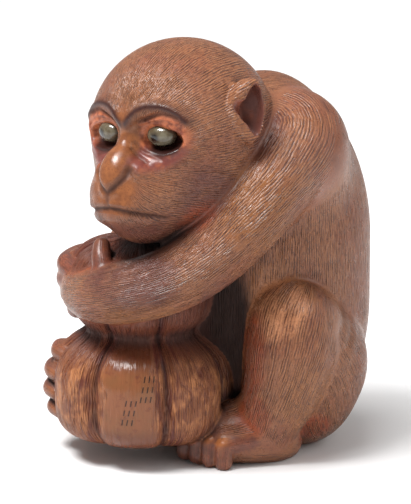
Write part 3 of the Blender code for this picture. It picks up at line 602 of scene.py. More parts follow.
def surface_net(values, cell):
    """Vertices in the cells that the surface crosses, and four-sided faces between them."""
    cases = fill_split_cells(values)
    crossed = (cases != 0) & (cases != 255)
    cells = np.argwhere(crossed)
    numbers = np.full(cases.shape, -1)
    numbers[crossed] = np.arange(len(cells))
    at_corners = [values[tuple((cells + corner).T)] for corner in CORNERS]
    total = np.zeros((len(cells), 3))
    count = np.zeros(len(cells))
    for i, j in itertools.combinations(range(8), 2):
        step = CORNERS[j] - CORNERS[i]
        if np.abs(step).sum() > 1:
            continue
        cut = (at_corners[i] < 0) != (at_corners[j] < 0)
        fall = np.where(cut, at_corners[i] - at_corners[j], 1.0)
        share = at_corners[i] / fall
        total += np.where(cut[:, None], CORNERS[i] + share[:, None] * step, 0.0)
        count += cut
    vertices = LOW_CORNER + cell * (cells + total / count[:, None])
    return vertices, net_faces(values < 0, numbers)


def net_faces(inside, numbers):
    faces = []
    for axis in range(3):
        one = np.eye(3, dtype=int)
        side, other = one[(axis + 1) % 3], one[(axis + 2) % 3]
        first = np.moveaxis(inside, axis, 0)[:-1]
        second = np.moveaxis(inside, axis, 0)[1:]
        edges = np.argwhere(np.moveaxis(first != second, 0, axis))
        within = ((edges * (side + other) > 0) | (side + other == 0)).all(axis=1)
        within &= (edges < np.array(numbers.shape)).all(axis=1)
        edges = edges[within]
        ring = [edges, edges - side, edges - side - other, edges - other]
        quads = np.column_stack([numbers[tuple(corner.T)] for corner in ring])
        leaving = inside[tuple(edges.T)]
        quads[~leaving] = quads[~leaving, ::-1]
        faces.append(quads)
    return np.vstack(faces)


def pulled_to_surface(vertices, cell):
    """Moves each vertex along the slope of the distance onto the surface itself."""
    directions = np.array([(1, -1, -1), (-1, -1, 1), (-1, 1, -1), (1, 1, 1), (0, 0, 0)], dtype=float)
    nudge = 0.05
    moved = vertices.copy()
    cells = ((vertices - LOW_CORNER) / cell).astype(int)
    for group in in_blocks(cells, COARSE_STEPS * 3):
        places = vertices[group]
        around_them = (places[None] + nudge * directions[:, None]).reshape(-1, 3)
        values = carving_distance(around_them).reshape(len(directions), -1)
        slope = values.T @ directions / (4 * nudge)
        steepness = np.maximum((slope ** 2).sum(axis=1), 0.25)
        step = np.clip(values[-1] / steepness, -cell / 2, cell / 2)
        moved[group] = places - slope * step[:, None]
    return moved


# How the engraved hair lies: each region gives every point a distance, and places across and along the hair


class Lie:
    """The lie of the hair on a form, with places along an axis and, at its girth, round it.

    The axis is the form itself unless another form is given. Round it, places count from the side that is
    square to its start and to the level direction.
    """

    def __init__(self, axis, girth, form=None, level=(0.3, 0.2, 1.0)):
        self.axis = axis
        self.girth = girth
        self.form = form
        self.lengths = length(axis.runs)
        self.reached = np.concatenate([[0.0], np.cumsum(self.lengths)[:-1]])
        tangents = axis.runs / self.lengths[:, None]
        side = np.cross(tangents[0], level)
        self.sides = []
        for tangent in tangents:
            side = side - tangent * (side @ tangent)
            side = side / np.linalg.norm(side)
            self.sides.append((side, np.cross(tangent, side)))

    def __call__(self, points):
        best = points.nothing()
        across = np.zeros(len(best))
        along = np.zeros(len(best))
        for i, share, away, distance in self.axis.stretches(points):
            closer = distance < best
            side, other = self.sides[i]
            bearing = np.arctan2(away @ other, away @ side)
            best = np.where(closer, distance, best)
            across = np.where(closer, bearing * self.girth, across)
            along = np.where(closer, self.reached[i] + share * self.lengths[i], along)
        return (self.form(points) if self.form else best), across, along


HEAD_GIRTH = 12.0
FACE_POLE = np.array([0.0, 13.0, -1.0])


def head_lie(points):
    """Hair that fans out from the middle of the face, over the crown and round the cheeks."""
    offsets = (points.places - HEAD_PLACE) @ HEAD_AXES.T - FACE_POLE
    across = np.arctan2(offsets[:, 0], offsets[:, 2]) * HEAD_GIRTH
    reach = np.hypot(offsets[:, 0], offsets[:, 2])
    return head(points), across, reach - offsets[:, 1]


def gourd_lie(points):
    """Wrinkles that run from the crown to the base."""
    offsets = points.places - np.array([*GOURD_PLACE, 0.0])
    across = np.arctan2(-offsets[:, 1], offsets[:, 0]) * LOBE[0]
    return gourd(points), across, points.places[:, 2]


def digits_lie(limbs, girth):
    lies = [Lie(limb, girth) for limb in limbs]
    return lambda points: nearest([lie(points) for lie in lies])[1:]


def nearest(measures):
    """The number of the nearest form, with its distance and its places across and along."""
    measures = np.array(measures)
    number = measures[:, 0].argmin(axis=0)
    return (number, *measures[number, :, np.arange(len(number))].T)


def axis(places, radius=6.0, steps=3):
    """An axis for the hair to run along."""
    return Limb(places, [radius] * len(places), steps)


# The hair runs over the nape, the shoulders and the knees, so its axes start beyond them
LIES = {
    "head": head_lie,
    "torso": Lie(
        axis([(3.0, -12.0, 50.0), (1.6, -4.0, 49.0), (0.5, 3.0, 45.5), (0.0, 6.6, 39.0), (0.0, 7.0, 30.0),
              (0.0, 7.0, 14.0), (0.0, 7.0, -4.0)], 10.0, 4), 14.0, body, (-1.0, 0.0, 0.0)),
    "left_arm": Lie(
        axis([(1.0, -1.0, 48.0), (6.0, 3.5, 47.5), (10.5, 4.5, 46.0), (13.2, 1.5, 43.5), (14.6, -3.0, 40.5)]
             + LEFT_FOREARM, steps=4), 5.5, LEFT_ARM),
    "right_arm": Lie(
        axis([(-1.0, -1.0, 48.0), (-6.0, 3.5, 47.5), (-10.5, 4.5, 45.0), (-13.2, 1.5, 41.0)] + RIGHT_FOREARM,
             steps=4), 5.5, RIGHT_ARM),
    "left_thigh": Lie(
        axis([(15.4, -9.0, 33.0), (14.6, 0.6, 23.0), (12.6, 7.0, 13.0), (9.0, 12.0, 1.0)], 7.0), 8.0,
        LEFT_THIGH),
    "right_thigh": Lie(
        axis([(-14.4, -11.0, 33.0), (-13.6, -2.0, 23.0), (-12.0, 6.0, 13.0), (-9.0, 12.0, 1.0)], 7.0), 8.0,
        RIGHT_THIGH),
    "left_shin": Lie(
        axis([(11.0, 10.0, 34.0), (14.0, 5.0, 24.0), (15.0, 1.6, 15.0), (13.9, -0.4, 8.0),
              (13.0, -2.4, 2.0)]), 6.0, LEFT_SHIN),
    "right_shin": Lie(
        axis([(-9.0, 10.0, 33.0), (-13.2, 3.6, 24.0), (-15.6, -4.0, 18.0), (-16.4, -9.5, 13.0),
              (-15.4, -14.6, 9.4), (-14.4, -18.4, 8.4)]), 6.0, RIGHT_SHIN),
    "left_foot": digits_lie([LEFT_SOLE, LEFT_INSTEP], 3.5),
    "right_foot": digits_lie([RIGHT_SOLE], 3.5),
    "left_digits": digits_lie(LEFT_FINGERS + [LEFT_THUMB], 1.5),
    "right_digits": digits_lie(RIGHT_FINGERS, 1.5),
    "left_toes": digits_lie(LEFT_TOE_UPPERS + LEFT_TOE_ENDS, 1.3),
    "right_toes": digits_lie(RIGHT_TOES, 1.4),
    "gourd": gourd_lie,
}
REGIONS = list(LIES)
# Side of the blocks of places that are worked out together, in shares
LIE_BLOCK = 5.0


def lie_of(places):
    """For each place the region it belongs to, and its places across and along the hair."""
    found = np.zeros((3, len(places)))
    cells = ((places - LOW_CORNER) / LIE_BLOCK).astype(int)
    for group in in_blocks(cells, 1):
        points = Points(places[group])
        number, _, across, along = nearest([lie(points) for lie in LIES.values()])
        found[:, group] = number, across, along
    return found


# Hair fades out beside a seam, where the place across it jumps by more than this between two neighbours
SEAM_JUMP = 1.5
SEAM_FADE = (0.1, 0.7)


def away_from_seams(mesh, places, region, across):
    """0 on the seams where the lie of the hair jumps, and 1 away from them."""
    pairs = np.empty(len(mesh.edges) * 2, dtype=np.int32)
    mesh.edges.foreach_get("vertices", pairs)
    first, second = pairs.reshape(-1, 2).T
    jumps = (region[first] != region[second]) | (np.abs(across[first] - across[second]) > SEAM_JUMP)
    seam = np.unique(np.concatenate([first[jumps], second[jumps]]))
    tree = kdtree.KDTree(len(seam))
    for number in seam:
        tree.insert(places[number], number)
    tree.balance()
    reach = np.array([tree.find(place)[2] for place in places])
    return ramp(reach, *SEAM_FADE)


def shell_of(vertex):
    """All vertices that hang together with one."""
    shell = {vertex}
    front = [vertex]
    while front:
        reached = front.pop()
        found = {edge.other_vert(reached) for edge in reached.link_edges} - shell
        shell |= found
        front += found
    return shell


def keep_outer_shell(work):
    """Fills the bubbles between forms inside the block, by dropping every shell but the outer one."""
    highest = max(work.verts, key=lambda vertex: vertex.co.z)
    outer = shell_of(highest)
    inner = [vertex for vertex in work.verts if vertex not in outer]
    bmesh.ops.delete(work, geom=inner, context="VERTS")


# Vertices this close to the floor are taken as on it, in metres
FLOOR_REACH = 0.02 * SHARE


def finish_underside(mesh):
    """Cuts the underside off along the floor and closes it with flat faces."""
    work = bmesh.new()
    work.from_mesh(mesh)
    keep_outer_shell(work)
    everything = work.verts[:] + work.edges[:] + work.faces[:]
    cut = bmesh.ops.bisect_plane(work, geom=everything, dist=FLOOR_REACH, plane_co=(0, 0, 0),
                                 plane_no=(0, 0, -1), clear_outer=True)
    rim = [item for item in cut["geom_cut"] if isinstance(item, bmesh.types.BMEdge)]
    for edge in rim:
        for vertex in edge.verts:
            vertex.co.z = 0.0
    bmesh.ops.triangle_fill(work, use_beauty=True, edges=rim, normal=(0, 0, -1))
    bmesh.ops.triangulate(work, faces=work.faces[:])
    work.to_mesh(mesh)
    work.free()


# Where the eyes look, in the head's frame: the seat is where the dome starts from the shank
EYE_SEAT = (4.85, 10.8, 1.75)
EYE_OUTWARD = 12.0


def eye_placement(side):
    """The matrix of one eye beside the form; side is 1 for the figure's left and -1 for its right."""
    angle = np.radians(EYE_OUTWARD) * side
    forward = np.array([np.sin(angle), np.cos(angle), 0.0])
    up = np.array([0.0, 0.0, 1.0])
    frame = np.array([np.cross(up, forward), up, forward]) @ HEAD_AXES
    seat = np.array([EYE_SEAT[0] * side, EYE_SEAT[1], EYE_SEAT[2]])
    place = (HEAD_PLACE + seat @ HEAD_AXES) * SHARE
    return Matrix.Translation(Vector(place)) @ Matrix(frame.T.tolist()).to_4x4()


# The fine surface: lattice cell in shares, and triangles kept
FINE_CELL = 0.4
FINE_TRIANGLES = 196000
# What is engraved in it: pitch, length and wander of the lines, and their depth
HAIR_STROKES = (0.9, 3.0, 1.6)
HAIR_DEPTH = 0.045
WRINKLE_STROKES = (1.15, 6.0, 2.6)
WRINKLE_DEPTH = 0.17


def chance(first, second):
    """A fixed pseudo-random share for two whole-number keys."""
    return np.abs(np.sin(first * 12.9898 + second * 78.233) * 43758.5453) % 1.0


def soft_noise(across, along):
    """Smooth noise between 0 and 1 over a plane."""
    column = np.floor(across)
    row = np.floor(along)
    s = eased(across - column)
    t = eased(along - row)
    low = chance(column, row) * (1 - s) + chance(column + 1, row) * s
    high = chance(column, row + 1) * (1 - s) + chance(column + 1, row + 1) * s
    return low * (1 - t) + high * t


# Engraved lines: how far across and along a bend reaches, the grooves' sharpness, how far apart two lines are
# read in the noise and how far along one starts at most, and the slope and offset of the strength
BEND_REACH = (2.2, 3.0)
GROOVE_SHARPNESS = 1.5
LINE_GAP = 7.0
LINE_SHIFT = 9.0
STRENGTH_SLOPE = 1.8
STRENGTH_OFFSET = 0.3


def strokes(across, along, pitch, stroke_length, wander):
    """Engraved lines side by side, 0 on the ridges and 1 in a groove, each broken here and there."""
    bend = soft_noise(across / BEND_REACH[0], along / BEND_REACH[1]) - 0.5
    line = (across + wander * bend) / pitch
    number = np.floor(line)
    ridge = np.sin(np.pi * (line - number))
    strength = soft_noise(number * LINE_GAP + 0.5, along / stroke_length + LINE_SHIFT * chance(number, 0.0))
    return (1.0 - ridge) ** GROOVE_SHARPNESS * np.clip(STRENGTH_SLOPE * strength - STRENGTH_OFFSET, 0.0, 1.0)


def eased(share):
    return share * share * (3 - 2 * share)


def ramp(values, low, high):
    """0 at the low value, 1 at the high one, and smooth between."""
    return eased(np.clip((values - low) / (high - low), 0.0, 1.0))


PATCH_EDGE = (0.6, 1.0)


def patches(places, *areas):
    """1 in the middle of each oval patch, falling to 0 at its edge."""
    reaches = [length((places - np.array(centre)) / np.array(radii)) for centre, radii in areas]
    return 1.0 - ramp(np.minimum.reduce(reaches), *PATCH_EDGE)


FRONT_PLANE = np.array([1.0, 0.0, 1.0])
LINE_FRONT = 6.0
OVAL_FRONT = 4.0


def on_line(places, line, width):
    """1 on a line of the face seen from its front, falling off softly over the width."""
    flat = copy.copy(line)
    for part in ("starts", "runs", "middles", "centre"):
        setattr(flat, part, getattr(line, part) * FRONT_PLANE)
    distance = flat(Points(places * FRONT_PLANE))
    return np.exp(-(distance / width) ** 2) * (places[:, 1] > LINE_FRONT)


def head_places(places):
    """Places in the head's frame, with the far side folded over the near one."""
    found = (places - HEAD_PLACE) @ HEAD_AXES.T
    side = found[:, 0].copy()
    found[:, 0] = np.abs(side)
    return found, side


def oval(places, centre, radii, soft):
    """1 inside an upright oval of the face's front plane, and 0 outside it."""
    reach = np.hypot((places[:, 0] - centre[0]) / radii[0], (places[:, 2] - centre[1]) / radii[1])
    return (1.0 - ramp(reach, 1.0 - soft, 1.0)) * (places[:, 1] > OVAL_FRONT)


# Folds of the skin above and below each eye
FOLDS = (
    Line([(1.75, 13.6, 0.9), (2.6, 13.3, -0.1), (4.15, 13.1, -0.8), (6.0, 13.0, -1.35)]),
    Line([(1.75, 14.3, 0.2), (2.75, 14.1, -1.0), (4.1, 14.3, -1.7)]),
    Line([(2.3, 12.7, 3.1), (3.9, 12.4, 3.8), (5.9, 12.2, 4.1), (7.5, 11.8, 3.7), (8.75, 11.2, 2.8)]),
)
FOLD_WIDTH = 0.36
FOLD_DEPTH = 0.3
FOLD_PAINT = 0.5
BROW_PAINT = 0.6
# Ovals of the face's front: middle, radii and softness
SKIN_OVALS = (((0.0, -5.6), (5.6, 4.9), 0.45), ((0.0, 0.4), (2.5, 7.0), 0.3))
LID_OVAL = ((5.6, 1.2), (5.0, 4.9), 0.3)
SOCKET_OVAL = ((5.5, 0.3), (3.2, 1.6), 0.3)
# Each socket's dark, partly stain and partly painted shade on the side away from the light, lies a little to
# the figure's left of the eye
SOCKET_SHIFT = (0.45, 0.0, 0.0)
# Width and strength of the dark paint along some of the face's lines
FACE_PAINT = {0: (0.4, 0.9), 1: (0.34, 0.6), 2: (0.3, 0.2), 4: (0.32, 0.95), 6: (0.4, 0.8)}
# Heights between which the pouches under the eyes end, and distances between which the ear's bare cup ends
POUCH_TOP = (-0.6, 0.8)
CUP_EDGE = (0.08, 0.3)


def face_masks(places):
    """Masks of the face: skin, lids, pouches under them, brow, sockets, dark lines, folds and ears' cups."""
    found, side = head_places(places)
    skin = np.maximum.reduce([oval(found, *shape) for shape in SKIN_OVALS])
    lines = [on_line(found, FACE_LINES[number][0], width) * strength
             for number, (width, strength) in FACE_PAINT.items()]
    near = Points(found)
    folds = np.exp(-(np.minimum.reduce([fold(near) for fold in FOLDS]) / FOLD_WIDTH) ** 2)
    _, cup = ear(found - np.outer(side < 0, FAR_EAR_SHIFT))
    return {
        "skin": skin,
        "lids": oval(found, *LID_OVAL) * (1.0 - skin),
        "pouch": 1.0 - ramp(found[:, 2], *POUCH_TOP),
        "brow": on_line(found, BROW, BROW_PAINT),
        # The socket's dark is stain and painted shade
        "socket": oval(found - np.outer(np.sign(side), SOCKET_SHIFT), *SOCKET_OVAL),
        "lines": np.maximum.reduce(lines + [folds * FOLD_PAINT]),
        "folds": folds,
        "ear": 1.0 - ramp(np.abs(cup), *CUP_EDGE),
    }


# The smooth rib ends between these bearings in degrees and these heights, with an edge this ragged and rags
# of this size round and up
RIB_HALF = (13.0, 19.0)
RIB_TOP = (18.0, 21.0)
RIB_RAGGED = 9.0
RAG_SIZE = (3.0, 2.5)


def gourd_masks(places):
    """Masks of the gourd: its smooth middle rib with ragged edges, and the furrows between its ribs."""
    offsets = places - np.array([*GOURD_PLACE, 0.0])
    bearing = np.degrees(np.arctan2(-offsets[:, 1], offsets[:, 0])) - RIB_TURN
    ragged = RIB_RAGGED * (soft_noise(bearing / RAG_SIZE[0], places[:, 2] / RAG_SIZE[1]) - 0.5)
    return {
        "rib": (1.0 - ramp(np.abs(bearing) + ragged, *RIB_HALF)) * (1.0 - ramp(places[:, 2], *RIB_TOP)),
        "furrow": 1.0 - np.abs(np.cos(np.radians(bearing) * RIBS / 2)),
    }


WORN_PATCHES = (
    ((16.0, -1.0, 27.0), (7.0, 7.0, 7.0)),
    ((18.5, -6.0, 41.0), (6.0, 8.0, 8.0)),
    ((12.0, -22.0, 25.5), (9.0, 6.0, 3.0)),
    ((19.0, 2.0, 12.0), (5.0, 6.0, 9.0)),
)
KNUCKLE_WEAR = (1.5, 1.5, 1.5)
KNUCKLE_PATCHES = [(limb.starts[-1] + limb.runs[-1] + (0.0, -0.4, TOE_RADIUS / 2), KNUCKLE_WEAR)
                   for limb in LEFT_TOE_UPPERS]
# Painted light: a pale patch on the top of the knee, which lies in the arm's shadow
PAINTED_KNEE_LIGHT_PATCH = ((17.0, -2.0, 25.0), (6.5, 6.5, 6.5))
# Painted shadow: near-black patches where shade falls between the arms, the gourd, the belly and the thighs,
# and under the chin
PAINTED_SHADOW_PATCHES = (
    ((4.0, -8.0, 20.0), (13.0, 10.0, 19.0)),
    ((2.0, -15.0, 36.0), (9.0, 8.0, 4.5)),
)
RED_PATCHES = (
    ((14.5, -4.5, 17.0), (4.0, 4.5, 9.0)),
    ((15.5, -4.5, 8.0), (3.5, 4.0, 4.5)),
    ((13.0, -13.0, 40.0), (4.5, 5.0, 4.5)),
    ((0.0, -20.0, 30.5), (9.0, 9.0, 5.0)),
    ((16.5, 6.0, 3.5), (4.0, 4.0, 4.0)),
)
DULL_PATCHES = (
    ((6.0, -18.5, 39.0), (12.0, 12.0, 9.0)),
    ((11.0, -23.5, 31.0), (10.0, 8.0, 6.0)),
    ((12.0, -2.0, 50.0), (6.0, 6.0, 7.0)),
    ((9.0, -13.0, 5.0), (8.0, 6.0, 6.0)),
    ((14.0, -12.0, 30.0), (6.0, 6.0, 6.0)),
    ((13.0, -13.0, 44.0), (7.0, 7.0, 7.0)),
)
# Share of the fur that a finger or toe loses, the gourd's share in the painted shadow, and heights of the lit
# leg
DIGIT_BARE = 0.8
GOURD_SHADOW_SHARE = 0.3
LIT_HEIGHTS = (17.0, 21.0)


def surface_masks(mesh, places):
    """The depth of the engraving at each place, and its masks with its places across and along the hair."""
    region, across, along = lie_of(places)
    within = away_from_seams(mesh, places, region, across)

    def on(*names):
        return np.isin(region, [REGIONS.index(name) for name in names]).astype(float)

    masks = {name: mask * on("head") for name, mask in face_masks(places).items()}
    gourd_part = on("gourd")
    masks.update({name: mask * gourd_part for name, mask in gourd_masks(places).items()})
    digit = on("left_digits", "right_digits", "left_toes", "right_toes")
    bare = np.maximum.reduce([masks[name] for name in ("skin", "lids", "brow", "socket")])
    fur = (1.0 - bare) * (1.0 - masks["ear"]) * (1.0 - gourd_part) * (1.0 - DIGIT_BARE * digit)
    hair = strokes(across, along, *HAIR_STROKES) * fur * within
    wrinkles = strokes(across, along, *WRINKLE_STROKES) * gourd_part * (1.0 - masks["rib"]) * within
    masks.update({
        "fur": fur,
        "gourd": gourd_part,
        "digit": digit,
        "within": within,
        "across": across,
        "along": along,
        "groove": np.maximum(hair, wrinkles),
        "worn": patches(places, *WORN_PATCHES, *KNUCKLE_PATCHES),
        "rubbed": patches(places, PAINTED_KNEE_LIGHT_PATCH),
        "red": patches(places, *RED_PATCHES),
        "dull": patches(places, *DULL_PATCHES) * (1.0 - gourd_part),
        "deep": patches(places, *PAINTED_SHADOW_PATCHES)
        * (on("torso", "right_arm", "right_thigh", "right_shin") + GOURD_SHADOW_SHARE * gourd_part),
        "lit": on("left_thigh", "left_shin") * ramp(places[:, 2], *LIT_HEIGHTS),
    })
    depth = hair * HAIR_DEPTH + wrinkles * WRINKLE_DEPTH + masks.pop("folds") * FOLD_DEPTH
    return depth, masks


def field_at(values, places):
    """Distance to the surface at any place near it, read between the lattice's corners."""
    spot = (places - LOW_CORNER) / FINE_CELL
    corner = np.clip(np.floor(spot).astype(int), 0, np.array(values.shape) - 2)
    share = np.clip(spot - corner, 0.0, 1.0)
    found = np.zeros(len(places))
    for step in CORNERS:
        weight = np.prod(np.where(step, share, 1.0 - share), axis=1)
        found += weight * values[tuple((corner + step).T)]
    return found


# How far out from the surface, or into it, is looked, and the loss on that way where a mask starts and ends
# The crease and recess masks are painted shade where light is blocked; the raised mask marks forms that stand
# out
HOLLOWS = {"crease": (0.9, 0.3, 0.85), "recess": (2.2, 0.15, 0.75), "raised": (-1.6, 0.12, 0.6)}


def hollow_masks(values, places):
    """Masks of painted shade in the narrow creases and in the wider hollows, read like ambient occlusion, and
    of the raised forms.
    """
    slope = np.column_stack([field_at(values, places + step) - field_at(values, places - step)
                             for step in np.eye(3) * FINE_CELL])
    normals = slope / np.maximum(length(slope), 1e-6)[:, None]
    masks = {}
    for name, (reach, start, full) in HOLLOWS.items():
        lost = 1.0 - field_at(values, places + normals * reach) / reach
        masks[name] = ramp(np.clip(lost, 0.0, 1.0), start, full)
    return masks


def linked(name, mesh):
    made = bpy.data.objects.new(name, mesh)
    bpy.context.scene.collection.objects.link(made)
    return made


def modified(name, mesh, kind, **settings):
    """A copy of the mesh with one modifier applied."""
    source = linked(name, mesh)
    modifier = source.modifiers.new(name, kind)
    for setting, value in settings.items():
        setattr(modifier, setting, value)
    bpy.context.view_layer.update()
    graph = bpy.context.evaluated_depsgraph_get()
    made = bpy.data.meshes.new_from_object(source.evaluated_get(graph), depsgraph=graph)
    bpy.data.objects.remove(source)
    return made


def vectors_of(items, name="co"):
    values = np.empty(len(items) * 3, dtype=np.float32)
    items.foreach_get(name, values)
    return values.reshape(-1, 3).astype(float)


def set_attribute(mesh, name, values):
    made = mesh.attributes.new(name, "FLOAT", "POINT")
    made.data.foreach_set("value", values.astype(np.float32))


def fine_surface():
    """The engraved surface, closed underneath, and the lattice of distances that it was read from."""
    values = lattice_distances(FINE_CELL)
    vertices, faces = surface_net(values, FINE_CELL)
    mesh = bpy.data.meshes.new("form")
    mesh.from_pydata(pulled_to_surface(vertices, FINE_CELL).tolist(), [], faces.tolist())
    mesh.update()
    smoothed = modified("smooth", mesh, "SUBSURF", levels=1)
    places = vectors_of(smoothed.vertices)
    depth, _ = surface_masks(smoothed, places)
    moved = places - vectors_of(smoothed.vertex_normals, "vector") * depth[:, None]
    smoothed.vertices.foreach_set("co", moved.astype(np.float32).ravel())
    smoothed.update()
    thinned = modified("thin out", smoothed, "DECIMATE", ratio=FINE_TRIANGLES / (2 * len(smoothed.polygons)))
    thinned.transform(Matrix.Scale(SHARE, 4))
    finish_underside(thinned)
    return thinned, values


# Share of the hollows' shade that the lit leg loses
LIT_SHARE = 0.85


def carving():
    """The dressed carving with its masks, centred like the solid that it stands for, and how far it moved."""
    mesh, values = fine_surface()
    mesh.shade_smooth()
    places = vectors_of(mesh.vertices) / SHARE
    _, masks = surface_masks(mesh, places)
    masks.update(hollow_masks(values, places))
    shaded = 1.0 - LIT_SHARE * masks.pop("lit")
    masks["recess"] *= shaded
    masks["crease"] *= shaded
    for name, mask in masks.items():
        set_attribute(mesh, name, mask)
    middle = (places.min(axis=0) + places.max(axis=0)) / 2 * SHARE
    move = Vector((-middle[0], -middle[1], 0.0))
    mesh.transform(Matrix.Translation(move))
    return linked("carved_monkey_and_gourd", mesh), move


# Materials


class Nodes:
    """A material's nodes, made and joined by short calls."""

    def __init__(self, name):
        self.material = bpy.data.materials.new(name)
        self.material.use_nodes = True
        self.tree = self.material.node_tree

    def link(self, value, socket):
        if isinstance(value, bpy.types.NodeSocket):
            self.tree.links.new(value, socket)
        else:
            socket.default_value = (*value, 1.0) if isinstance(value, tuple) else value

    def node(self, kind, inputs, **settings):
        """The outputs of a new node with these settings, and with inputs given by name or number."""
        made = self.tree.nodes.new("ShaderNode" + kind)
        for name, value in settings.items():
            setattr(made, name, value)
        for key, value in inputs.items():
            self.link(value, made.inputs[key])
        return made.outputs

    def shaded(self, **inputs):
        """The material, with these inputs of its shader, whose names have spaces for underscores."""
        shader = self.tree.nodes["Principled BSDF"]
        for name, value in inputs.items():
            self.link(value, shader.inputs[name.replace("_", " ")])
        return self.material

    def attribute(self, name):
        return self.node("Attribute", {}, attribute_name=name)["Fac"]

    def math(self, operation, *values):
        return self.node("Math", dict(enumerate(values)), operation=operation)[0]

    def times(self, *values):
        return functools.reduce(functools.partial(self.math, "MULTIPLY"), values)

    def plus(self, *values):
        return functools.reduce(functools.partial(self.math, "ADD"), values)

    def most(self, *values):
        return functools.reduce(functools.partial(self.math, "MAXIMUM"), values)

    def less(self, first, second):
        return self.math("SUBTRACT", first, second)

    def centred(self, value):
        return self.less(value, 0.5)

    def spread(self, value, low, high, end=1.0, start=0.0):
        """The end at the high value, the start at the low one, and smooth between."""
        inputs = {"Value": value, "From Min": low, "From Max": high, "To Min": start, "To Max": end}
        return self.node("MapRange", inputs, interpolation_type="SMOOTHSTEP")[0]

    def place(self):
        """The place on the piece in millimetres."""
        metres = self.node("TexCoord", {})["Object"]
        return self.node("VectorMath", {0: metres, "Scale": 1000.0}, operation="SCALE")[0]

    def parts(self, vector):
        return self.node("SeparateXYZ", {0: vector})

    def noise(self, vector, scale, detail=3.0, roughness=0.5):
        inputs = {"Vector": vector, "Scale": scale, "Detail": detail, "Roughness": roughness}
        return self.node("TexNoise", inputs)["Fac"]

    def streaks(self, mask, width, reach, shift, detail=2.0):
        """Noise drawn out along the hair, from the width and the length of one streak in millimetres."""
        lie = {0: self.times(mask.across, 1.0 / width), 1: self.times(mask.along, 1.0 / reach), 2: shift}
        return self.noise(self.node("CombineXYZ", lie)[0], 1.0, detail)

    def layers(self, colour, *coats):
        """A colour under coats of others, each with its colour and the factors of its share."""
        for coat, *shares in coats:
            colour = self.node("Mix", {0: self.times(*shares), 6: colour, 7: coat}, data_type="RGBA")[2]
        return colour

    def bumps(self, *layers):
        """A normal from layers of height, each with its distance in metres."""
        normal = {}
        for height, distance in layers:
            normal = {"Normal": self.node("Bump", {"Distance": distance, "Height": height, **normal})[0]}
        return normal["Normal"]


# Colours of the stained wood
FUR_BROWN = (0.262, 0.102, 0.047)
FUR_RED = (0.215, 0.062, 0.035)
# Dark stain of the grooves and the grain, also used for the painted shade in the recesses
FUR_STAIN_AND_SHADE = (0.070, 0.024, 0.018)
FUR_DULL = (0.130, 0.045, 0.034)
FUR_LIGHT = (0.440, 0.205, 0.100)
WORN_TAN = (0.285, 0.108, 0.038)
# Pale tan of the painted light on the knee's top
PAINTED_KNEE_LIGHT_TAN = (0.600, 0.262, 0.130)
KNUCKLE_ORANGE = (0.420, 0.140, 0.045)
STAIN_RED = (0.290, 0.058, 0.022)
LINE_BROWN = (0.050, 0.015, 0.008)
# Near-black of the painted shade in creases and of the painted shadow between parts, and of the incised
# strokes
SHADE_AND_INCISION_BLACK = (0.014, 0.006, 0.005)
SKIN_ORANGE = (0.270, 0.096, 0.036)
SKIN_BROWN = (0.150, 0.050, 0.022)
LID_RED = (0.500, 0.150, 0.066)
LID_DARK = (0.130, 0.026, 0.018)
LID_PURPLE = (0.155, 0.040, 0.032)
BROW_PURPLE = (0.040, 0.013, 0.011)
SOCKET_STAIN_AND_SHADE = (0.030, 0.010, 0.008)
GOURD_ORANGE = (0.225, 0.078, 0.032)
GOURD_TAN = (0.450, 0.180, 0.070)
GOURD_RED = (0.095, 0.018, 0.012)
GOURD_DARK = (0.040, 0.010, 0.008)
RIB_BROWN = (0.200, 0.078, 0.032)
# Noise over the place: scale, detail and roughness
NOISES = {
    "grain": (3.2, 2.0, 0.6),
    "clouds": (0.13, 4.0, 0.5),
    "patchy": (0.3, 4.0, 0.6),
    "spots": (0.8, 4.0, 0.62),
}
# Noise drawn out along the hair: width and length of a streak in millimetres, and a shift that sets it apart
STREAKS = {
    "middle": (0.6, 6.0, 5.0),
    "digit": (0.3, 2.6, 11.0),
    "ripe": (0.85, 8.0, 21.0),
    "ripple": (0.9, 5.0, 13.0),
    "bend": (2.2, 6.0, 3.0),
    "strength": (0.9, 4.5, 7.0),
}
FINEST_STREAKS = (0.16, 1.4, 0.0, 1.0)
# Pitch of the drawn hairs in millimetres, how far they wander, and their part in the engraving
DRAWN_PITCH = 0.34
DRAWN_WANDER = 16.0
DRAWN_PART = 0.35
# Heights in millimetres where the gourd's belly starts and is full, from below and from above
BELLY_FOOT = (4.0, 9.0)
BELLY_TOP = (19.0, 14.0)
# What the furrows and the streaks add to the gourd's ripe red, and how ragged the furrows' dark line is
RIPE_FURROWS = 0.6
RIPE_STREAKS = 4.0
FURROW_RAG = 0.5
# Depths in metres of what is only in the material
CUT_DEPTH = 0.0003
LOCK_DEPTH = 0.00015
MARK_DEPTH = 0.00006
RIPPLE_DEPTH = 0.0003
SPOT_DEPTH = 0.00006
WOOD_SPECULAR = 0.35
MASKS = ("fur", "gourd", "skin", "lids", "pouch", "brow", "socket", "lines", "ear", "rib", "furrow", "digit",
         "groove", "crease", "recess", "raised", "worn", "rubbed", "red", "dull", "deep", "within", "across",
         "along")


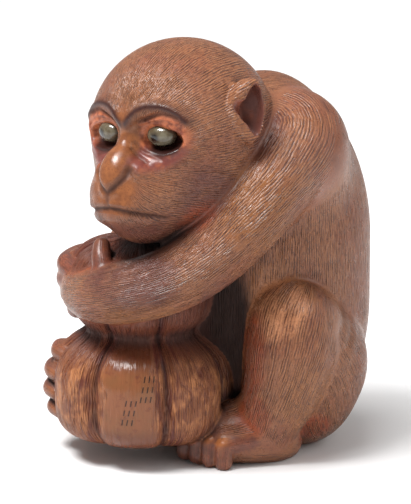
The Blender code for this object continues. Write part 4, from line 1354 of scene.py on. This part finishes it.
def wood_look(gourd_axis):
    """Stained boxwood: dark grooves between lighter hairs, worn high places, orange skin and a streaky gourd,
    with painted shade in the creases and hollows, painted shadow between the parts and painted light on the
    knee's top.

    The drawn hairs are lines side by side, 1 on the ridges and 0 in the grooves, that wander and fade away.
    """
    n = Nodes("stained_boxwood")
    mask = SimpleNamespace(**{name: n.attribute(name) for name in MASKS})
    place = n.place()
    height = n.parts(place)[2]
    streaks = SimpleNamespace(**{name: n.streaks(mask, *settings) for name, settings in STREAKS.items()})
    grain, clouds, patchy, spots = [n.noise(place, *settings) for settings in NOISES.values()]
    middle = streaks.middle
    turns = n.plus(n.times(mask.across, 2 * np.pi / DRAWN_PITCH),
                   n.times(n.centred(streaks.bend), DRAWN_WANDER))
    drawn = n.times(n.math("SINE", turns), n.spread(streaks.strength, 0.35, 0.6, 1.0, 0.25), 0.5)
    engraved = n.plus(n.times(n.plus(drawn, 0.5), DRAWN_PART),
                      n.times(n.streaks(mask, *FINEST_STREAKS), 1.0 - DRAWN_PART))
    fine = n.plus(n.times(n.centred(engraved), n.spread(mask.within, 0.0, 1.0, 1.0, 0.5)), 0.5)
    belly = n.times(n.spread(height, *BELLY_FOOT), n.spread(height, *BELLY_TOP))
    ripe = n.plus(n.times(mask.furrow, RIPE_FURROWS), n.times(n.centred(streaks.ripe), RIPE_STREAKS))
    furrow = n.plus(mask.furrow, n.times(n.centred(patchy), FURROW_RAG))

    fur = n.layers(
        FUR_BROWN,
        (FUR_RED, n.spread(clouds, 0.4, 0.65, 0.5)),
        (WORN_TAN, mask.worn, n.spread(middle, 0.3, 0.62, 1.0, 0.35)),
        (FUR_STAIN_AND_SHADE, n.spread(patchy, 0.5, 0.72, 0.3)),
        # Painted light on the knee's top
        (PAINTED_KNEE_LIGHT_TAN, mask.rubbed, n.spread(middle, 0.3, 0.6, 0.9, 0.45)),
        (FUR_DULL, mask.dull, n.spread(patchy, 0.3, 0.6, 0.9, 0.45)),
        (WORN_TAN, mask.raised, 0.2),
        (STAIN_RED, mask.red, n.spread(middle, 0.3, 0.6, 0.95, 0.5)),
        (FUR_LIGHT, n.spread(fine, 0.52, 0.72, 0.5), n.less(1.0, n.times(mask.dull, 0.6))),
        (FUR_STAIN_AND_SHADE, n.spread(fine, 0.49, 0.32, 0.75)),
        (FUR_STAIN_AND_SHADE, mask.groove, 0.15),
        (FUR_STAIN_AND_SHADE, n.spread(grain, 0.5, 0.32, 0.45)),
    )
    skin = n.layers(
        SKIN_ORANGE,
        (SKIN_BROWN, n.spread(spots, 0.4, 0.66, 0.7)),
        (SKIN_BROWN, n.spread(grain, 0.52, 0.34, 0.6)),
    )
    lids = n.layers(
        LID_RED,
        (LID_DARK, n.spread(spots, 0.42, 0.66, 0.8)),
        (LID_PURPLE, mask.pouch, n.spread(spots, 0.3, 0.5, 0.95, 0.6)),
    )
    digit = n.layers(
        FUR_RED,
        (FUR_DULL, n.spread(spots, 0.4, 0.6)),
        (FUR_STAIN_AND_SHADE, n.spread(streaks.digit, 0.52, 0.36, 0.7)),
        (FUR_STAIN_AND_SHADE, n.spread(grain, 0.5, 0.36, 0.6)),
        (WORN_TAN, mask.raised, n.spread(middle, 0.35, 0.6, 0.6, 0.1)),
        (KNUCKLE_ORANGE, mask.worn),
    )
    smooth = n.layers(
        RIB_BROWN,
        (GOURD_ORANGE, n.spread(patchy, 0.38, 0.64)),
        (GOURD_RED, n.spread(spots, 0.52, 0.72, 0.6)),
        (GOURD_RED, n.spread(belly, 0.9, 0.1, 0.55)),
    )
    bark = n.layers(
        GOURD_ORANGE,
        (GOURD_TAN, n.spread(patchy, 0.44, 0.6), belly),
        (GOURD_RED, n.spread(ripe, 0.3, 0.9, 0.9)),
        (GOURD_RED, mask.groove, 0.85),
        (GOURD_RED, n.spread(fine, 0.5, 0.3, 0.6)),
        (GOURD_TAN, n.spread(fine, 0.55, 0.8, 0.35)),
        (GOURD_RED, n.spread(height, 15.0, 20.0, 0.6)),
        (smooth, mask.rib),
        (GOURD_DARK, n.spread(furrow, 0.82, 1.0, 0.8)),
    )
    marks = incised(n, place, gourd_axis)
    # The ears' cups and the lids get less of the painted shade
    open_air = n.less(1.0, n.times(n.most(mask.ear, mask.lids), 0.8))
    colour = n.layers(
        fur,
        (digit, mask.digit, 0.8),
        (n.layers(FUR_RED, (FUR_DULL, n.spread(patchy, 0.4, 0.6))), mask.ear),
        (lids, mask.lids),
        (skin, mask.skin),
        (bark, mask.gourd),
        (FUR_DULL, mask.dull, mask.skin, 0.6),
        # Painted shadow between the parts
        (SHADE_AND_INCISION_BLACK, n.spread(mask.deep, 0.0, 0.9, 0.95)),
        # Painted shade in the recesses and the creases
        (FUR_STAIN_AND_SHADE, mask.recess, open_air, 0.5),
        (SHADE_AND_INCISION_BLACK, mask.crease, open_air, 0.9),
        (BROW_PURPLE, mask.brow),
        (LINE_BROWN, mask.lines),
        # The sockets' dark: stain and painted shade
        (SOCKET_STAIN_AND_SHADE, mask.socket),
        (SHADE_AND_INCISION_BLACK, marks, 0.85),
    )
    roughness = n.plus(
        n.spread(n.most(mask.skin, mask.rib), 0.0, 1.0, 0.2, 0.3),
        n.spread(spots, 0.3, 0.7, 0.08, -0.05),
        n.times(n.less(mask.gourd, mask.rib), 0.12),
        n.times(n.most(mask.crease, mask.deep, mask.lines), 0.5),
        n.times(mask.rubbed, -0.08),
    )
    carved = n.most(mask.fur, n.times(mask.gourd, n.less(1.0, mask.rib)))
    normal = n.bumps(
        (n.times(n.centred(engraved), mask.within, carved), CUT_DEPTH),
        (n.times(n.centred(middle), mask.fur, mask.within), LOCK_DEPTH),
        (n.times(marks, -1.0), MARK_DEPTH),
        (n.times(n.centred(streaks.ripple), mask.gourd, mask.within), RIPPLE_DEPTH),
        (spots, SPOT_DEPTH),
    )
    return n.shaded(Base_Color=colour, Roughness=roughness, Normal=normal, Specular_IOR_Level=WOOD_SPECULAR)


# Two groups of short strokes on the smooth rib: bearing and height of the middle, half width, half height
STROKE_GROUPS = ((26.0, 13.6, 1.1, 2.2), (37.6, 10.0, 1.1, 2.2))
STROKE_SLANT = 0.2
# Pitch of the strokes and of their rows, with the half width and half length at a stroke's edge and inside it
STROKE_PITCHES = (0.75, 1.5)
STROKE_HALVES = ((0.14, 0.056), (0.5, 0.4))


def incised(n, place, gourd_axis):
    """Rows of short slanting strokes, 1 in a stroke."""
    x, y, height = n.parts(place)
    bearing = n.math("ARCTAN2", n.less(gourd_axis[1], y), n.less(x, gourd_axis[0]))
    marks = []
    for middle, height_place, *reaches in STROKE_GROUPS:
        up = n.less(height, height_place)
        across = n.times(n.less(bearing, np.radians(middle)), LOBE[0])
        slanted = n.plus(across, n.times(up, STROKE_SLANT))
        shares = []
        for value, reach, pitch, halves in zip((slanted, up), reaches, STROKE_PITCHES, STROKE_HALVES):
            shares.append(n.math("LESS_THAN", n.math("ABSOLUTE", value), reach))
            wrapped = n.math("WRAP", value, pitch / 2, -pitch / 2)
            shares.append(n.spread(n.math("ABSOLUTE", wrapped), *halves))
        marks.append(n.times(*shares))
    return n.most(*marks)


# The eyes, with the pupil's place and radius in millimetres
EYE_SIDES = 64
DOME_RINGS = 20
PUPIL_PLACE = (0.5, -0.1)
PUPIL_RADIUS = 0.55
PUPIL_EDGE = 0.12
PUPIL_HALO = 0.6
HORN_OLIVE = (0.090, 0.066, 0.036)
HORN_GREY = (0.150, 0.128, 0.084)
HORN_RIM = (0.036, 0.026, 0.018)
PUPIL_BLACK = (0.008, 0.007, 0.006)
HORN_ROUGHNESS = 0.16
HORN_COAT = 0.3
HORN_COAT_ROUGHNESS = 0.06
HORN_RELIEF = 0.00002


def eye_dome(name, placement):
    """The polished dome and its shank, at the size of the solid that it stands for."""
    profile = [(SHANK_WIDTH / 2, SHANK_HEIGHT / 2, height) for height in (-SHANK_LENGTH, 0.0)]
    for angle in np.arange(DOME_RINGS) / DOME_RINGS * np.pi / 2:
        shrink = np.cos(angle)
        profile.append((EYE_WIDTH / 2 * shrink, EYE_HEIGHT / 2 * shrink, EYE_BULGE * np.sin(angle)))
    bearings = [2 * np.pi * i / EYE_SIDES for i in range(EYE_SIDES)]
    work = bmesh.new()
    loops = [[work.verts.new((x * np.cos(b), y * np.sin(b), z)) for b in bearings] for x, y, z in profile]
    tip = work.verts.new((0.0, 0.0, EYE_BULGE))
    work.faces.new(loops[0][::-1])
    for i in range(EYE_SIDES):
        for lower, upper in itertools.pairwise(loops):
            work.faces.new((lower[i - 1], lower[i], upper[i], upper[i - 1]))
        work.faces.new((loops[-1][i - 1], loops[-1][i], tip))
    mesh = bpy.data.meshes.new(name)
    work.to_mesh(mesh)
    work.free()
    mesh.shade_smooth()
    side, up, _ = vectors_of(mesh.vertices).T * 1000
    set_attribute(mesh, "eye_side", side)
    set_attribute(mesh, "eye_up", up)
    mesh.transform(placement)
    return linked(name, mesh)


def horn_look():
    """Translucent olive horn with a dark pupil set under its polished dome."""
    n = Nodes("eye_horn_look")
    spot = [n.attribute(name) for name in ("eye_side", "eye_up")]

    def squares(values):
        return n.plus(*[n.math("POWER", value, 2.0) for value in values])

    from_pupil = n.math("SQRT", squares(map(n.less, spot, PUPIL_PLACE)))
    to_rim = squares(map(n.times, spot, (0.002 / EYE_WIDTH, 0.002 / EYE_HEIGHT)))
    streaks = n.noise(n.place(), 1.1, 3.0, 0.6)
    horn = n.layers(
        HORN_OLIVE,
        (HORN_GREY, n.spread(streaks, 0.35, 0.65)),
        (HORN_RIM, n.spread(to_rim, 0.45, 1.0, 0.8)),
        (HORN_RIM, n.spread(from_pupil, PUPIL_RADIUS, PUPIL_RADIUS + PUPIL_HALO, 0.0, 0.75)),
        (PUPIL_BLACK, n.spread(from_pupil, PUPIL_RADIUS - PUPIL_EDGE, PUPIL_RADIUS + PUPIL_EDGE, 0.0, 1.0)),
    )
    return n.shaded(Base_Color=horn, Roughness=HORN_ROUGHNESS, Normal=n.bumps((streaks, HORN_RELIEF)),
                    Coat_Weight=HORN_COAT, Coat_Roughness=HORN_COAT_ROUGHNESS)


# The room: floor, light and camera
FLOOR_WHITE = (0.88, 0.88, 0.88)
FLOOR_ROUGHNESS = 0.6
FLOOR_HALF = 3.0
WORLD_LIGHT = 0.36
LIGHT_AIM = Vector((0.0, 0.0, 0.03))
# Each light's kind and settings, and its way from the aim: to the camera, to the camera's right, up in the
# picture and straight up
LIGHTS = {
    "sky": ("SUN", {"energy": 1.85, "angle": np.radians(40.0)}, (0.15, -0.28, 0.0, 1.0)),
    "window": ("AREA", {"energy": 2.6, "shape": "RECTANGLE", "size": 0.22, "size_y": 0.13},
               (0.21, -0.21, 0.4, 0.0)),
    "fill": ("AREA", {"energy": 1.2, "size": 0.5}, (0.18, 0.54, 0.27, 0.0)),
}
VIEW_AZIMUTH = np.radians(60.0)
VIEW_ELEVATION = np.radians(14.0)
VIEW_DISTANCE = 0.6
VIEW_CENTRE = (0.00475, -0.00707, 0.0316)
PIXEL = 0.000153
PHOTO_HEIGHT = 504
SENSOR = 36.0
CLIP_START = 0.01
# Unit vectors towards the camera and to its right
TO_CAMERA = Vector((np.sin(VIEW_AZIMUTH) * np.cos(VIEW_ELEVATION),
                    -np.cos(VIEW_AZIMUTH) * np.cos(VIEW_ELEVATION), np.sin(VIEW_ELEVATION)))
CAMERA_RIGHT = Vector((np.cos(VIEW_AZIMUTH), np.sin(VIEW_AZIMUTH), 0.0))


def floor():
    mesh = bpy.data.meshes.new("floor")
    corners = [(x * FLOOR_HALF, y * FLOOR_HALF, 0) for x, y in ((-1, -1), (1, -1), (1, 1), (-1, 1))]
    mesh.from_pydata(corners, [], [(0, 1, 2, 3)])
    mesh.materials.append(Nodes("floor_white").shaded(Base_Color=FLOOR_WHITE, Roughness=FLOOR_ROUGHNESS))
    linked("floor", mesh)


def aimed(name, data, place, back):
    """An object at a place, whose back is turned to a direction."""
    made = linked(name, data)
    made.location = place
    made.rotation_euler = back.to_track_quat("Z", "Y").to_euler()
    return made


def lights():
    world = bpy.data.worlds.new("room")
    world.use_nodes = True
    background = world.node_tree.nodes["Background"]
    background.inputs["Color"].default_value = (1.0, 1.0, 1.0, 1.0)
    background.inputs["Strength"].default_value = WORLD_LIGHT
    bpy.context.scene.world = world
    for name, (kind, settings, shares) in LIGHTS.items():
        light = bpy.data.lights.new(name, kind)
        for setting, value in settings.items():
            setattr(light, setting, value)
        ways = zip(shares, (TO_CAMERA, CAMERA_RIGHT, TO_CAMERA.cross(CAMERA_RIGHT), Vector((0.0, 0.0, 1.0))))
        away = sum((way * share for share, way in ways), Vector())
        aimed(name, light, LIGHT_AIM + away, away)


def camera(move):
    data = bpy.data.cameras.new("camera")
    data.sensor_width = SENSOR
    data.lens = SENSOR * VIEW_DISTANCE / (PHOTO_HEIGHT * PIXEL)
    data.clip_start = CLIP_START
    place = Vector(VIEW_CENTRE) + move + TO_CAMERA * VIEW_DISTANCE
    bpy.context.scene.camera = aimed("camera", data, place, TO_CAMERA)


bpy.context.scene.view_settings.view_transform = "Standard"
block, move = carving()
gourd_axis = [share * SHARE * 1000 + shift * 1000 for share, shift in zip(GOURD_PLACE, move)]
block.data.materials.append(wood_look(gourd_axis))
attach(block, "root")
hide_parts(CARVING_NODE)
horn = horn_look()
for node, side in (("left_eye", 1), ("right_eye", -1)):
    dome = eye_dome(f"{node}_dome", Matrix.Translation(move) @ eye_placement(side))
    dome.data.materials.append(horn)
    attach(dome, "root")
    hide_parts(node)
floor()
lights()
camera(move)
